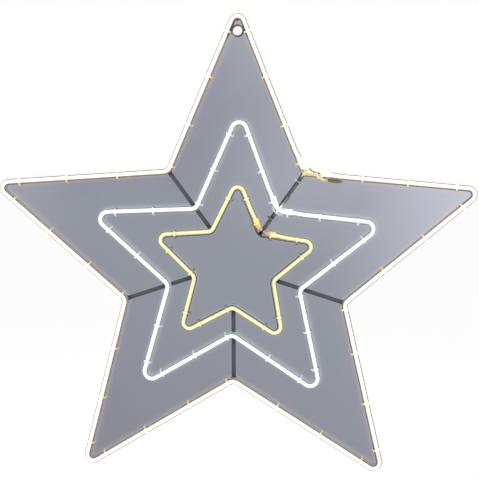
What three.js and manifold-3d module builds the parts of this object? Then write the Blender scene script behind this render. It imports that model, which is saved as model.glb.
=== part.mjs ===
import * as THREE from "three";
import { mergeVertices } from "three/addons/utils/BufferGeometryUtils.js";
import Module from "manifold-3d";

// A light-up star that hangs on a wall: three nested star frames bent from flat steel bar, on five spokes.
// A lit silicone tube runs round the outside of each frame and is held to it by cable ties.
// The star is drawn as the viewer sees it: x to the right, y up, z out of the wall towards the viewer, in
// millimetres. The last lines stand it up, so that +Z is up, the front faces -Y and the origin is in the
// middle of the hanging ring, on the wall.

const wasm = await Module();
wasm.setup();

// Gaps between pieces that rest on, slip over or are welded to each other
const SEAT_GAP = 0.3;
const STRAP_GAP = 0.3;
const BOOT_GAP = 0.25;
const STRIP_GAP = 0.3;

// Star frames: a corner is where the straight sides would meet on the frame's outer face, from the centre
const ARM_COUNT = 5;
const OUTER_STAR = { tipCorner: 317.9, valleyCorner: 142.4, tipBend: 5.5, valleyBend: 12, turn: 0 };
const MIDDLE_STAR = { tipCorner: 188.9, valleyCorner: 83.8, tipBend: 6.9, valleyBend: 12, turn: 0.022 };
const INNER_STAR = { tipCorner: 104, valleyCorner: 48.9, tipBend: 5.1, valleyBend: 11, turn: 0.032 };
const TIP_STEPS = 8;
const VALLEY_STEPS = 4;

// Flat bar of the frames and spokes, and the tube that the hanging ring is cut from
const BAR_THICKNESS = 1.5;
const BAR_DEPTH = 12;
const SPOKE_WIDTH = 5;
const SPOKE_DEPTH = 3;
const RING_RADIUS = 7.5;
const RING_WALL = 1.5;
const RING_DEPTH = 10;

// Silicone tube with a domed front, and the LED strip on edge in its channel
const TUBE_WIDTH = 5.6;
const TUBE_DEPTH = 10;
const CHANNEL_WIDTH = 1.8;
const CHANNEL_DEPTH = 5.6;
const CHANNEL_FLOOR = 1.4;
const STRIP_THICKNESS = 0.5;
const DOME_STEPS = 2;

// Boots over the tube ends
const BOOT_WALL = 0.6;
const BOOT_LENGTH = 14;
const BOOT_HOLD = 8;
const BOOT_CHAMFER = 0.6;
const BOOT_CLOSED_END_SHARE = 0.8;
const BOOT_EASE = 14;
const BOOT_FROM_VALLEY = 7;
const OUTER_FIRST_BOOT_FROM_VALLEY = 21;

// Cable ties
const STRAP_WIDTH = 2.5;
const STRAP_THICKNESS = 0.9;
const STRAP_CORNER = 0.9;
const WIRE_SLACK = 0.9;
const HEAD_LENGTH = 3.4;
const HEAD_WIDTH = 3;
const HEAD_RISE = 1.7;
const TAIL_LENGTH = 0.6;
const TAIL_WIDTH = 1.8;
const TAIL_THICKNESS = 0.9;
const VALLEY_TIE_FROM_CORNER = 9;
const BOOT_TIE_FROM_END = 8;
const SUPPLY_BOOT_TIE_FROM_END = 3;
const OUTER_SPOKE_TIE_FROM_VALLEY = 9.962;
const INNER_SPOKE_TIE_SHARE = 0.1871498;
const OUTER_SIDE_TIE_SHARE = 0.404;
const MIDDLE_SIDE_TIE_SHARE = 0.575;
const INNER_SIDE_TIE_SHARE = 0.314;

// Wiring along the upper right spoke
const WIRE_RADIUS = 1.4;
const WIRE_SIDES = 8;
const WIRE_STEPS = 32;
const WIRE_GAP = 0.5;
const WIRE_STRAIGHT = 1;
const SHRINK_RADIUS = 2.1;
const SHRINK_TIP_RADIUS = 1.2;
const SHRINK_TIP_FROM_VALLEY = 9;
const SHRINK_LENGTH_SHARE = 0.2864164;
const WIRE_END_FROM_VALLEY = 9;
const JOINT_RADIUS = 2.2;
const JOINT_TIP_RADIUS = 1;
const JOINT_LENGTH = 18;
const JOINT_TAPER = 5;
const JOINT_FROM_VALLEY = 32;
const ROUND_STEPS = 12;

// Routes of the wires. Over a frame at the feed valley: outwards from the sharp corner, and above the
// frame's front edge
const OVER_FRAME = [
  [5, -0.8],
  [3.4, 1.7],
  [1.2, 2.3],
  [-1.4, 1.2],
  [-3.1, -2.3],
];
// Down onto the spoke: outwards from the sharp corner, and above where the wire lies on the spoke
const ONTO_SPOKE = [
  [-3.7, 3.2],
  [-5.2, 0.5],
  [-8, 0],
];
// Supply wire's loop: along the side from the valley, outwards from the frame, and above its mid-depth
const SUPPLY_LOOP = [
  [28, -4.8, 4.2],
  [25, -5.1, 7],
  [21.6, -3.8, 8.2],
  [19.8, -1, 9],
  [18, 2.4, 7.4],
  [15.6, 4.2, 5],
  [14.2, 4.4, 2.7],
  [15.5, 4.2, 0.4],
];

// Middle lines of what lies beside a bar or on a spoke
const BOOT_MIDDLE = SEAT_GAP + BOOT_GAP + BOOT_WALL + TUBE_WIDTH / 2;
const JOINT_INSIDE = -BAR_THICKNESS - SEAT_GAP - JOINT_RADIUS;
const WIRE_ON_SPOKE = SPOKE_DEPTH + SEAT_GAP + WIRE_RADIUS;
const SHRINK_ON_SPOKE = SPOKE_DEPTH + SEAT_GAP + SHRINK_RADIUS;

// Corners are counted clockwise from the top tip, so even ones are tips and odd ones valleys
const CORNER_COUNT = 2 * ARM_COUNT;
const TOP_TIP = 0;
const FEED_VALLEY = 1;
const VALLEYS = ["upper_right", "lower_right", "bottom", "lower_left", "upper_left"];

function finish(color, roughness, metalness) {
  return new THREE.MeshStandardMaterial({ color, roughness, metalness });
}

const PAINTED_STEEL = finish(0x464b52, 0.5, 0.4);
const RING_STEEL = finish(0x5a5a5c, 0.45, 0.6);
const WARM_TUBE = finish(0xfff6e4, 0.4, 0);
const COOL_TUBE = finish(0xf4fbff, 0.4, 0);
const YELLOW_TUBE = finish(0xfff5a8, 0.4, 0);
const STRIP_BOARD = finish(0xf2f0e6, 0.6, 0);
const CLEAR_BOOT = finish(0xf3ead2, 0.25, 0);
const AMBER_BOOT = finish(0xf0b95c, 0.3, 0);
const NYLON = finish(0xe8dfcc, 0.45, 0);
const CLEAR_WIRE = finish(0x8e958a, 0.35, 0);
const SHRINK_SLEEVE = finish(0x4a4b38, 0.55, 0);

// Unit vector at a bearing measured clockwise from straight up
function heading(bearing) {
  return new THREE.Vector2(Math.sin(bearing), Math.cos(bearing));
}

// The outer face of one star frame, as a line with rounded tips and valleys
class StarLine {
  constructor(star, base) {
    this.star = star;
    this.base = base;
    this.arm = Math.PI / ARM_COUNT;
    const across = star.valleyCorner * Math.sin(this.arm);
    const along = star.tipCorner - star.valleyCorner * Math.cos(this.arm);
    this.tipHalfAngle = Math.atan2(across, along);
    this.valleyHalfAngle = this.tipHalfAngle + this.arm;
  }

  bearing(index) {
    return this.star.turn + index * this.arm;
  }

  isTip(index) {
    return index % 2 === 0;
  }

  sharpCorner(index) {
    const reach = this.isTip(index) ? this.star.tipCorner : this.star.valleyCorner;
    return heading(this.bearing(index)).multiplyScalar(reach);
  }

  // Where the rounded valley comes closest to the centre, from the centre
  valleyReach() {
    const { valleyCorner, valleyBend } = this.star;
    return valleyCorner + valleyBend / Math.sin(this.valleyHalfAngle) - valleyBend;
  }

  // Stations round one corner, clockwise
  corner(index) {
    const tip = this.isTip(index);
    const side = tip ? 1 : -1;
    const bend = tip ? this.star.tipBend : this.star.valleyBend;
    const halfAngle = tip ? this.tipHalfAngle : this.valleyHalfAngle;
    const steps = tip ? TIP_STEPS : VALLEY_STEPS;
    const toCentre = heading(this.bearing(index)).multiplyScalar((-side * bend) / Math.sin(halfAngle));
    const centre = this.sharpCorner(index).add(toCentre);
    const sweep = Math.PI / 2 - halfAngle;
    const stations = [];
    for (let i = 0; i <= steps; i++) {
      const outward = heading(this.bearing(index) + side * sweep * ((2 * i) / steps - 1));
      stations.push({ point: centre.clone().addScaledVector(outward, side * bend), outward });
    }
    return stations;
  }

  // The closed line, moved outwards by an offset
  outline(offset) {
    const points = [];
    for (let index = 0; index < CORNER_COUNT; index++) {
      for (const { point, outward } of this.corner(index)) {
        points.push(point.clone().addScaledVector(outward, offset));
      }
    }
    return points;
  }

  // The straight side that leaves a corner, clockwise for a step of 1 and anticlockwise for -1
  side(index, step) {
    const origin = this.sharpCorner(index);
    const along = this.sharpCorner(index + step).sub(origin);
    const length = along.length();
    along.normalize();
    const outward = new THREE.Vector2(-along.y, along.x).multiplyScalar(step);
    return { origin, along, outward, length };
  }

  // A station on a side, at a distance from its corner and moved outwards by an offset
  onSide(index, step, distance, offset = 0) {
    const { origin, along, outward } = this.side(index, step);
    const point = origin.addScaledVector(along, distance).addScaledVector(outward, offset);
    return { point, outward };
  }

  // A point beyond the feed valley's sharp corner, outwards from the centre, and at a height from the wall
  nearValley(beyond, height) {
    const out = heading(this.bearing(FEED_VALLEY));
    const point = this.sharpCorner(FEED_VALLEY).addScaledVector(out, beyond);
    return new THREE.Vector3(point.x, point.y, height);
  }
}

// A path that steps through given stations in the plane, so that each bend has the sections of its neighbours
class StationCurve extends THREE.Curve {
  constructor(stations) {
    super();
    this.stations = stations;
  }

  station(u) {
    return this.stations[Math.round(u * (this.stations.length - 1))];
  }

  getPointAt(u, target = new THREE.Vector3()) {
    const { point } = this.station(u);
    return target.set(point.x, point.y, 0);
  }

  getTangentAt(u, target = new THREE.Vector3()) {
    const { outward } = this.station(u);
    return target.set(outward.y, -outward.x, 0);
  }
}

// A section drawn as outwards by height, swept through stations
function sweep(section, stations) {
  const quarterTurn = (point) => new THREE.Vector2(-point.y, point.x);
  const { shape, holes } = section.extractPoints(DOME_STEPS);
  const turned = new THREE.Shape(shape.map(quarterTurn));
  turned.holes = holes.map((hole) => new THREE.Path(hole.map(quarterTurn)));
  return new THREE.ExtrudeGeometry(turned, {
    extrudePath: new StationCurve(stations),
    steps: stations.length - 1,
  });
}

function toSolid(geometry) {
  const bare = geometry.clone();
  bare.deleteAttribute("normal");
  bare.deleteAttribute("uv");
  const merged = mergeVertices(bare);
  const shell = new wasm.Mesh({
    numProp: 3,
    vertProperties: merged.attributes.position.array,
    triVerts: new Uint32Array(merged.index.array),
  });
  shell.merge();
  return new wasm.Manifold(shell);
}

function toGeometry(solid) {
  const { vertProperties, triVerts } = solid.getMesh();
  const geometry = new THREE.BufferGeometry();
  geometry.setAttribute("position", new THREE.BufferAttribute(vertProperties, 3));
  geometry.setIndex(new THREE.BufferAttribute(triVerts, 1));
  geometry.computeVertexNormals();
  return geometry;
}

function joined(...geometries) {
  return toGeometry(geometries.map(toSolid).reduce((whole, piece) => whole.add(piece)));
}

function cutBy(geometry, tool) {
  return toGeometry(toSolid(geometry).subtract(toSolid(tool)));
}

function mesh(name, geometry, material) {
  const made = new THREE.Mesh(geometry, material);
  made.name = name;
  return made;
}

// Sets a piece on a frame: its own x points outwards, y out of the wall and z clockwise along the frame
function seat(piece, { point, outward }, height) {
  const basis = new THREE.Matrix4().makeBasis(
    new THREE.Vector3(outward.x, outward.y, 0),
    new THREE.Vector3(0, 0, 1),
    new THREE.Vector3(outward.y, -outward.x, 0),
  );
  piece.quaternion.setFromRotationMatrix(basis);
  piece.position.set(point.x, point.y, height);
  return piece;
}

// Frame

function bandGeometry(line) {
  const shape = new THREE.Shape(line.outline(0));
  shape.holes.push(new THREE.Path(line.outline(-BAR_THICKNESS).reverse()));
  return new THREE.ExtrudeGeometry(shape, { depth: BAR_DEPTH, bevelEnabled: false });
}

function band(name, line) {
  const made = mesh(name, bandGeometry(line), PAINTED_STEEL);
  made.position.z = line.base;
  return made;
}

// A spoke butts on the outer frame's inner face and ends flush with the inner frame's inner face
function spokeRun(index, outerLine, innerLine) {
  const start = heading(outerLine.bearing(index));
  start.multiplyScalar(outerLine.valleyReach() - BAR_THICKNESS - SEAT_GAP);
  const end = heading(innerLine.bearing(index));
  end.multiplyScalar(innerLine.valleyReach() - BAR_THICKNESS);
  return { start, end, run: end.clone().sub(start) };
}

function spoke(name, index, outerLine, innerLine) {
  const { start, end, run } = spokeRun(index, outerLine, innerLine);
  const made = mesh(name, new THREE.BoxGeometry(run.length(), SPOKE_WIDTH, SPOKE_DEPTH), PAINTED_STEEL);
  made.position.set((start.x + end.x) / 2, (start.y + end.y) / 2, SPOKE_DEPTH / 2);
  made.rotation.z = run.angle();
  return made;
}

// The ring sinks into the top tip until it touches both legs
function ringHeight(line) {
  const stand = BAR_THICKNESS + SEAT_GAP + RING_RADIUS;
  return line.star.tipCorner - stand / Math.sin(line.tipHalfAngle);
}

function hangingRing(line) {
  const shape = new THREE.Shape().absarc(0, 0, RING_RADIUS, 0, 2 * Math.PI, false);
  shape.holes.push(new THREE.Path().absarc(0, 0, RING_RADIUS - RING_WALL, 0, 2 * Math.PI, true));
  const options = { depth: RING_DEPTH, bevelEnabled: false, curveSegments: ROUND_STEPS };
  const made = mesh("hanging_ring", new THREE.ExtrudeGeometry(shape, options), RING_STEEL);
  made.position.set(0, ringHeight(line), (BAR_DEPTH - RING_DEPTH) / 2);
  return made;
}

// Light tube

// Outline of the tube, or of a boot that stands off it by a margin: flat back, domed front
function tubeOutline(near, margin) {
  const radius = TUBE_WIDTH / 2 + margin;
  const middle = near + TUBE_WIDTH / 2;
  const back = (BAR_DEPTH - TUBE_DEPTH) / 2 - margin;
  const shoulder = (BAR_DEPTH + TUBE_DEPTH) / 2 - TUBE_WIDTH / 2;
  const shape = new THREE.Shape();
  shape.moveTo(middle - radius, back);
  shape.lineTo(middle + radius, back);
  shape.absarc(middle, shoulder, radius, 0, Math.PI, false);
  return shape;
}

function rectangle(Kind, left, bottom, width, height) {
  return new Kind()
    .moveTo(left, bottom)
    .lineTo(left + width, bottom)
    .lineTo(left + width, bottom + height)
    .lineTo(left, bottom + height);
}

function tubeSection() {
  const shape = tubeOutline(SEAT_GAP, 0);
  const channelLeft = SEAT_GAP + (TUBE_WIDTH - CHANNEL_WIDTH) / 2;
  const channelBottom = (BAR_DEPTH - TUBE_DEPTH) / 2 + CHANNEL_FLOOR;
  shape.holes.push(rectangle(THREE.Path, channelLeft, channelBottom, CHANNEL_WIDTH, CHANNEL_DEPTH));
  return shape;
}

function stripSection() {
  const left = SEAT_GAP + (TUBE_WIDTH - STRIP_THICKNESS) / 2;
  const bottom = (BAR_DEPTH - TUBE_DEPTH) / 2 + CHANNEL_FLOOR + STRIP_GAP;
  return rectangle(THREE.Shape, left, bottom, STRIP_THICKNESS, CHANNEL_DEPTH - 2 * STRIP_GAP);
}

// The tube's run, from the boot after the feed valley clockwise to the boot before it. Near its ends the
// tube lifts off the frame by the wall of the boot.
function tubeRun(line, firstBoot, lastBoot) {
  const lift = BOOT_GAP + BOOT_WALL;
  const hidden = BOOT_LENGTH - BOOT_HOLD + SEAT_GAP;
  const firstEnd = firstBoot + hidden;
  const lastEnd = lastBoot + hidden;
  const run = [
    line.onSide(FEED_VALLEY, 1, firstEnd, lift),
    line.onSide(FEED_VALLEY, 1, firstEnd + BOOT_HOLD, lift),
    line.onSide(FEED_VALLEY, 1, firstEnd + BOOT_HOLD + BOOT_EASE),
  ];
  for (let index = FEED_VALLEY + 1; index < FEED_VALLEY + CORNER_COUNT; index++) {
    run.push(...line.corner(index));
  }
  run.push(
    line.onSide(FEED_VALLEY, -1, lastEnd + BOOT_HOLD + BOOT_EASE),
    line.onSide(FEED_VALLEY, -1, lastEnd + BOOT_HOLD, lift),
    line.onSide(FEED_VALLEY, -1, lastEnd, lift),
  );
  return run;
}

function swept(name, section, run, line, material) {
  const made = mesh(name, sweep(section, run), material);
  made.position.z = line.base;
  return made;
}

// Narrows the closed half of a boot about its middle line
function narrow(body) {
  const corners = body.attributes.position;
  for (let i = 0; i < corners.count; i++) {
    const way = Math.min(1, (2 * corners.getZ(i)) / BOOT_LENGTH);
    const size = THREE.MathUtils.lerp(BOOT_CLOSED_END_SHARE, 1, way);
    const x = THREE.MathUtils.lerp(BOOT_MIDDLE, corners.getX(i), size);
    const y = THREE.MathUtils.lerp(BAR_DEPTH / 2, corners.getY(i), size);
    corners.setXY(i, x, y);
  }
}

// A boot is drawn from its closed end towards its mouth, where the tube goes in
function bootGeometry() {
  const near = SEAT_GAP + BOOT_GAP + BOOT_WALL;
  const body = new THREE.ExtrudeGeometry(tubeOutline(near, BOOT_GAP + BOOT_WALL), {
    depth: BOOT_LENGTH - 2 * BOOT_CHAMFER,
    steps: 2,
    bevelThickness: BOOT_CHAMFER,
    bevelSize: BOOT_CHAMFER,
    bevelOffset: -BOOT_CHAMFER,
    bevelSegments: 1,
    curveSegments: DOME_STEPS,
  }).translate(0, 0, BOOT_CHAMFER);
  narrow(body);
  const pocket = new THREE.ExtrudeGeometry(tubeOutline(near, BOOT_GAP), {
    depth: BOOT_LENGTH,
    bevelEnabled: false,
    curveSegments: DOME_STEPS,
  }).translate(0, 0, BOOT_LENGTH - BOOT_HOLD);
  return cutBy(body, pocket);
}

function boot(name, line, step, fromValley, material) {
  const geometry = bootGeometry();
  if (step < 0) {
    geometry.rotateY(Math.PI).scale(-1, 1, 1);
    geometry.index.array.reverse();
    geometry.computeVertexNormals();
  }
  return seat(mesh(name, geometry, material), line.onSide(FEED_VALLEY, step, fromValley), line.base);
}

// Cable ties

// A strap round a window, with its head and the cut-off tail on the side of the window's left edge
function tieGeometry(left, right, bottom, top) {
  const strap = new THREE.Shape();
  const [outerLeft, outerRight] = [left - STRAP_THICKNESS, right + STRAP_THICKNESS];
  const [outerBottom, outerTop] = [bottom - STRAP_THICKNESS, top + STRAP_THICKNESS];
  strap.moveTo(outerLeft + STRAP_CORNER, outerBottom);
  strap.lineTo(outerRight - STRAP_CORNER, outerBottom);
  strap.lineTo(outerRight, outerBottom + STRAP_CORNER);
  strap.lineTo(outerRight, outerTop - STRAP_CORNER);
  strap.lineTo(outerRight - STRAP_CORNER, outerTop);
  strap.lineTo(outerLeft + STRAP_CORNER, outerTop);
  strap.lineTo(outerLeft, outerTop - STRAP_CORNER);
  strap.lineTo(outerLeft, outerBottom + STRAP_CORNER);
  const block = new THREE.ExtrudeGeometry(strap, { depth: STRAP_WIDTH, bevelEnabled: false });
  block.translate(0, 0, -STRAP_WIDTH / 2);
  const middle = (bottom + top) / 2;
  const window = new THREE.BoxGeometry(right - left, top - bottom, 2 * STRAP_WIDTH);
  window.translate((left + right) / 2, middle, 0);
  const loop = cutBy(block, window);
  const headDepth = STRAP_THICKNESS + HEAD_RISE;
  const head = new THREE.BoxGeometry(headDepth, HEAD_LENGTH, HEAD_WIDTH);
  head.translate(left - headDepth / 2, middle, 0);
  const tailDepth = headDepth + TAIL_LENGTH;
  const tail = new THREE.BoxGeometry(tailDepth, TAIL_THICKNESS, TAIL_WIDTH);
  tail.translate(left - tailDepth / 2, middle, 0);
  return joined(loop, head, tail);
}

// A tie round a frame's bar and what lies beside it, which may stand further out of the wall than the bar
function frameTieGeometry(margin) {
  const left = -BAR_THICKNESS - STRAP_GAP;
  const right = SEAT_GAP + TUBE_WIDTH + 2 * margin + STRAP_GAP;
  const reach = Math.max(BAR_DEPTH, TUBE_DEPTH + 2 * margin) / 2 + STRAP_GAP;
  return tieGeometry(left, right, BAR_DEPTH / 2 - reach, BAR_DEPTH / 2 + reach);
}

const SIDE_TIE = frameTieGeometry(0);
const BOOT_TIE = frameTieGeometry(BOOT_GAP + BOOT_WALL);
const SPOKE_TIE = tieGeometry(
  -SPOKE_WIDTH / 2 - STRAP_GAP,
  SPOKE_WIDTH / 2 + STRAP_GAP,
  -STRAP_GAP,
  SPOKE_DEPTH + SEAT_GAP + 2 * WIRE_RADIUS + WIRE_SLACK,
);

function tie(name, geometry, station, base) {
  return seat(mesh(name, geometry, NYLON), station, base);
}

// Ties part of the way from a tip to its valley, clockwise for a step of 1
function sideTies(prefix, line, share, steps) {
  const ties = [];
  for (let index = TOP_TIP; index < CORNER_COUNT; index += 2) {
    for (const step of steps) {
      const { length } = line.side(index, step);
      const name = `${prefix}_side_tie_${ties.length + 1}`;
      ties.push(tie(name, SIDE_TIE, line.onSide(index, step, share * length), line.base));
    }
  }
  return ties;
}

// One tie close beside each valley's spoke, apart from the feed valley
function valleyTies(line) {
  return VALLEYS.slice(1).map((place, i) => {
    const station = line.onSide(FEED_VALLEY + 2 * (i + 1), 1, VALLEY_TIE_FROM_CORNER);
    return tie(`outer_${place}_valley_tie`, SIDE_TIE, station, line.base);
  });
}

// A tie round the upper right spoke and the wire that lies on it, inwards from a frame's sharp valley
function spokeTie(name, line, fromValley, { start, run }) {
  const along = start.length() - line.star.valleyCorner + fromValley;
  run.normalize();
  const outward = new THREE.Vector2(-run.y, run.x);
  return tie(name, SPOKE_TIE, { point: start.addScaledVector(run, along), outward }, 0);
}

// The inner spoke tie has its share of the way from where the wire is nearly down to where it ends
function innerTieFromValley(middleLine, innerLine) {
  const nearlyDown = -ONTO_SPOKE[1][0];
  const wireEnd = middleLine.star.valleyCorner - innerLine.star.valleyCorner - WIRE_END_FROM_VALLEY;
  return THREE.MathUtils.lerp(nearlyDown, wireEnd, INNER_SPOKE_TIE_SHARE);
}

// One tube with its strip, boots and boot ties
function light(prefix, line, firstBoot, firstTieAlong, material, bootMaterials) {
  const run = tubeRun(line, firstBoot, BOOT_FROM_VALLEY);
  const firstTie = line.onSide(FEED_VALLEY, 1, firstBoot + firstTieAlong);
  const lastTie = line.onSide(FEED_VALLEY, -1, BOOT_FROM_VALLEY + BOOT_TIE_FROM_END);
  return [
    swept(`${prefix}_light_sleeve`, tubeSection(), run, line, material),
    swept(`${prefix}_led_strip`, stripSection(), run, line, STRIP_BOARD),
    boot(`${prefix}_first_boot`, line, 1, firstBoot, bootMaterials[0]),
    boot(`${prefix}_last_boot`, line, -1, BOOT_FROM_VALLEY, bootMaterials[1]),
    tie(`${prefix}_first_boot_tie`, BOOT_TIE, firstTie, line.base),
    tie(`${prefix}_last_boot_tie`, BOOT_TIE, lastTie, line.base),
  ];
}

// Wiring

function wire(name, points) {
  const corners = [];
  for (let i = 0; i < WIRE_SIDES; i++) {
    corners.push(heading((-2 * Math.PI * i) / WIRE_SIDES).multiplyScalar(WIRE_RADIUS));
  }
  const section = new THREE.Shape(corners);
  const extrudePath = new THREE.CatmullRomCurve3(points);
  return mesh(name, new THREE.ExtrudeGeometry(section, { extrudePath, steps: WIRE_STEPS }), CLEAR_WIRE);
}

// Where a wire climbs over a frame's front edge at the feed valley and lies down on the spoke again
function crossing(line) {
  const edge = line.base + BAR_DEPTH;
  const over = OVER_FRAME.map(([beyond, above]) => line.nearValley(beyond, edge + above));
  const onto = ONTO_SPOKE.map(([beyond, above]) => line.nearValley(beyond, WIRE_ON_SPOKE + above));
  return [...over, ...onto];
}

// From the outer tube's last boot over the outer frame and along the spoke
function outerLinkWire(outerLine, middleLine) {
  const leave = [BOOT_FROM_VALLEY - WIRE_GAP, BOOT_FROM_VALLEY - WIRE_GAP - WIRE_STRAIGHT].map((along) => {
    const { point } = outerLine.onSide(FEED_VALLEY, -1, along, BOOT_MIDDLE);
    return new THREE.Vector3(point.x, point.y, BAR_DEPTH / 2);
  });
  const sleeveStart = SHRINK_TIP_FROM_VALLEY + shrinkLength(outerLine, middleLine);
  const arrive = [sleeveStart + WIRE_GAP + WIRE_STRAIGHT, sleeveStart + WIRE_GAP].map((beyond) =>
    middleLine.nearValley(beyond, WIRE_ON_SPOKE),
  );
  return wire("outer_link_wire", [...leave, ...crossing(outerLine), ...arrive]);
}

// The sleeve over the link wire's end takes up its share of the way between the two frames' valleys
function shrinkLength(outerLine, middleLine) {
  return SHRINK_LENGTH_SHARE * (outerLine.star.valleyCorner - middleLine.star.valleyCorner);
}

// The sleeve tapers in between the middle tube's boots
function linkShrink(outerLine, middleLine) {
  const length = shrinkLength(outerLine, middleLine);
  const profile = [
    new THREE.Vector2(0, 0),
    new THREE.Vector2(SHRINK_TIP_RADIUS, 0),
    new THREE.Vector2(SHRINK_RADIUS, length),
    new THREE.Vector2(0, length),
  ];
  const made = mesh("link_shrink_sleeve", new THREE.LatheGeometry(profile, ROUND_STEPS), CLEAR_BOOT);
  made.position.copy(middleLine.nearValley(SHRINK_TIP_FROM_VALLEY, SHRINK_ON_SPOKE));
  made.rotation.z = -middleLine.bearing(FEED_VALLEY);
  return made;
}

// From between the middle tube's boots over the middle frame and on along the spoke to the inner tube
function innerLinkWire(middleLine, innerLine) {
  const leave = [SHRINK_TIP_FROM_VALLEY - WIRE_GAP, SHRINK_TIP_FROM_VALLEY - WIRE_GAP - WIRE_STRAIGHT].map(
    (beyond) => middleLine.nearValley(beyond, SHRINK_ON_SPOKE),
  );
  const end = innerLine.nearValley(WIRE_END_FROM_VALLEY, WIRE_ON_SPOKE);
  return wire("inner_link_wire", [...leave, ...crossing(middleLine), end]);
}

// The joint with the supply lead lies along the inside of the outer frame, right of the feed valley
function supplyJoint(line) {
  const profile = [
    new THREE.Vector2(0, 0),
    new THREE.Vector2(JOINT_RADIUS, 0),
    new THREE.Vector2(JOINT_RADIUS, JOINT_LENGTH - JOINT_TAPER),
    new THREE.Vector2(JOINT_TIP_RADIUS, JOINT_LENGTH),
    new THREE.Vector2(0, JOINT_LENGTH),
  ];
  const geometry = new THREE.LatheGeometry(profile, ROUND_STEPS).rotateX(Math.PI / 2);
  const station = line.onSide(FEED_VALLEY, 1, JOINT_FROM_VALLEY, JOINT_INSIDE);
  return seat(mesh("supply_joint_sleeve", geometry, SHRINK_SLEEVE), station, BAR_DEPTH / 2);
}

// From the joint over the outer frame, round in a small loop and into the outer tube's first boot
function supplyWire(line) {
  const route = [
    [JOINT_FROM_VALLEY - WIRE_GAP, JOINT_INSIDE, 0],
    [JOINT_FROM_VALLEY - WIRE_GAP - WIRE_STRAIGHT, JOINT_INSIDE, 0],
    ...SUPPLY_LOOP,
    [OUTER_FIRST_BOOT_FROM_VALLEY - WIRE_GAP - WIRE_STRAIGHT, BOOT_MIDDLE, 0],
    [OUTER_FIRST_BOOT_FROM_VALLEY - WIRE_GAP, BOOT_MIDDLE, 0],
  ];
  const points = route.map(([along, offset, above]) => {
    const { point } = line.onSide(FEED_VALLEY, 1, along, offset);
    return new THREE.Vector3(point.x, point.y, BAR_DEPTH / 2 + above);
  });
  return wire("supply_wire", points);
}

// Assembly

const raised = SPOKE_DEPTH + SEAT_GAP;
const outerLine = new StarLine(OUTER_STAR, 0);
const middleLine = new StarLine(MIDDLE_STAR, raised);
const innerLine = new StarLine(INNER_STAR, raised);

const frame = new THREE.Group();
frame.add(band("outer_frame_band", outerLine));
frame.add(band("middle_frame_band", middleLine));
frame.add(band("inner_frame_band", innerLine));
frame.add(...VALLEYS.map((place, i) => spoke(`${place}_spoke`, FEED_VALLEY + 2 * i, outerLine, innerLine)));
frame.add(hangingRing(outerLine));

const lights = new THREE.Group();
const clearBoots = [CLEAR_BOOT, CLEAR_BOOT];
const supplyEnd = [OUTER_FIRST_BOOT_FROM_VALLEY, SUPPLY_BOOT_TIE_FROM_END];
const plainEnd = [BOOT_FROM_VALLEY, BOOT_TIE_FROM_END];
lights.add(...light("outer", outerLine, ...supplyEnd, WARM_TUBE, clearBoots));
lights.add(...light("middle", middleLine, ...plainEnd, COOL_TUBE, clearBoots));
lights.add(...light("inner", innerLine, ...plainEnd, YELLOW_TUBE, [CLEAR_BOOT, AMBER_BOOT]));

const ties = new THREE.Group();
ties.add(...sideTies("outer", outerLine, OUTER_SIDE_TIE_SHARE, [1, -1]));
ties.add(...valleyTies(outerLine));
ties.add(...sideTies("middle", middleLine, MIDDLE_SIDE_TIE_SHARE, [-1]));
ties.add(...sideTies("inner", innerLine, INNER_SIDE_TIE_SHARE, [-1]));
const feedSpoke = () => spokeRun(FEED_VALLEY, outerLine, innerLine);
ties.add(spokeTie("outer_spoke_tie", outerLine, OUTER_SPOKE_TIE_FROM_VALLEY, feedSpoke()));
ties.add(spokeTie("inner_spoke_tie", middleLine, innerTieFromValley(middleLine, innerLine), feedSpoke()));

const wiring = new THREE.Group();
wiring.add(outerLinkWire(outerLine, middleLine));
wiring.add(linkShrink(outerLine, middleLine));
wiring.add(innerLinkWire(middleLine, innerLine));
wiring.add(supplyJoint(outerLine));
wiring.add(supplyWire(outerLine));

const drawing = new THREE.Group();
drawing.add(frame, lights, ties, wiring);
drawing.rotation.x = Math.PI / 2;
drawing.position.z = -ringHeight(outerLine);

const star = new THREE.Group();
star.add(drawing);

export default star;
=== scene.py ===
"""Looks for a light-up wall star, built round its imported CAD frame.

Three nested star frames of painted flat bar hang on a wall. A lit silicone tube runs round the outside of
each frame, tied on with cable ties, and its ends sit in boots at the upper right valley, near the wiring.

The star is drawn as its viewer sees it: x to the right, y up and a height out of the wall. The module's
constants and class fields are real sizes in millimetres, and place() turns a drawn point into the row frame
in metres.
"""

import logging
import math
from dataclasses import dataclass, field
from enum import Enum
from typing import Callable, Iterable, Sequence

import bmesh
import bpy
from mathutils import Matrix, Vector

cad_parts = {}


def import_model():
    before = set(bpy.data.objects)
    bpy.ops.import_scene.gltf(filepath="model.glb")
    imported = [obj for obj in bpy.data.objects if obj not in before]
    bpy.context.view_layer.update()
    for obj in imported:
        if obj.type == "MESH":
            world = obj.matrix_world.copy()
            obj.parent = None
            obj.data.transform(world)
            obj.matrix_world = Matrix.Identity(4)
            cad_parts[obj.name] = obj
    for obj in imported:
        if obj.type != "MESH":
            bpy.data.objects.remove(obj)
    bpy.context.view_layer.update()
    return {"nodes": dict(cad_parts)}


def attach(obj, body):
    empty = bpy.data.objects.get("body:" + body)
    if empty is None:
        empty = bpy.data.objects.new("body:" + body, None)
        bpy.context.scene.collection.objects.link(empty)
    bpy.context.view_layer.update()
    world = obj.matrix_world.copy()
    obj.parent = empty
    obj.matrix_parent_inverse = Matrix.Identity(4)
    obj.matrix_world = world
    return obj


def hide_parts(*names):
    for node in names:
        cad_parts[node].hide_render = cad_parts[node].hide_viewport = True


log = logging.getLogger("star")

# Short names for Blender's types
BMesh = bmesh.types.BMesh
BMEdge = bmesh.types.BMEdge
BMVert = bmesh.types.BMVert
Material = bpy.types.Material
Piece = bpy.types.Object

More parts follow.
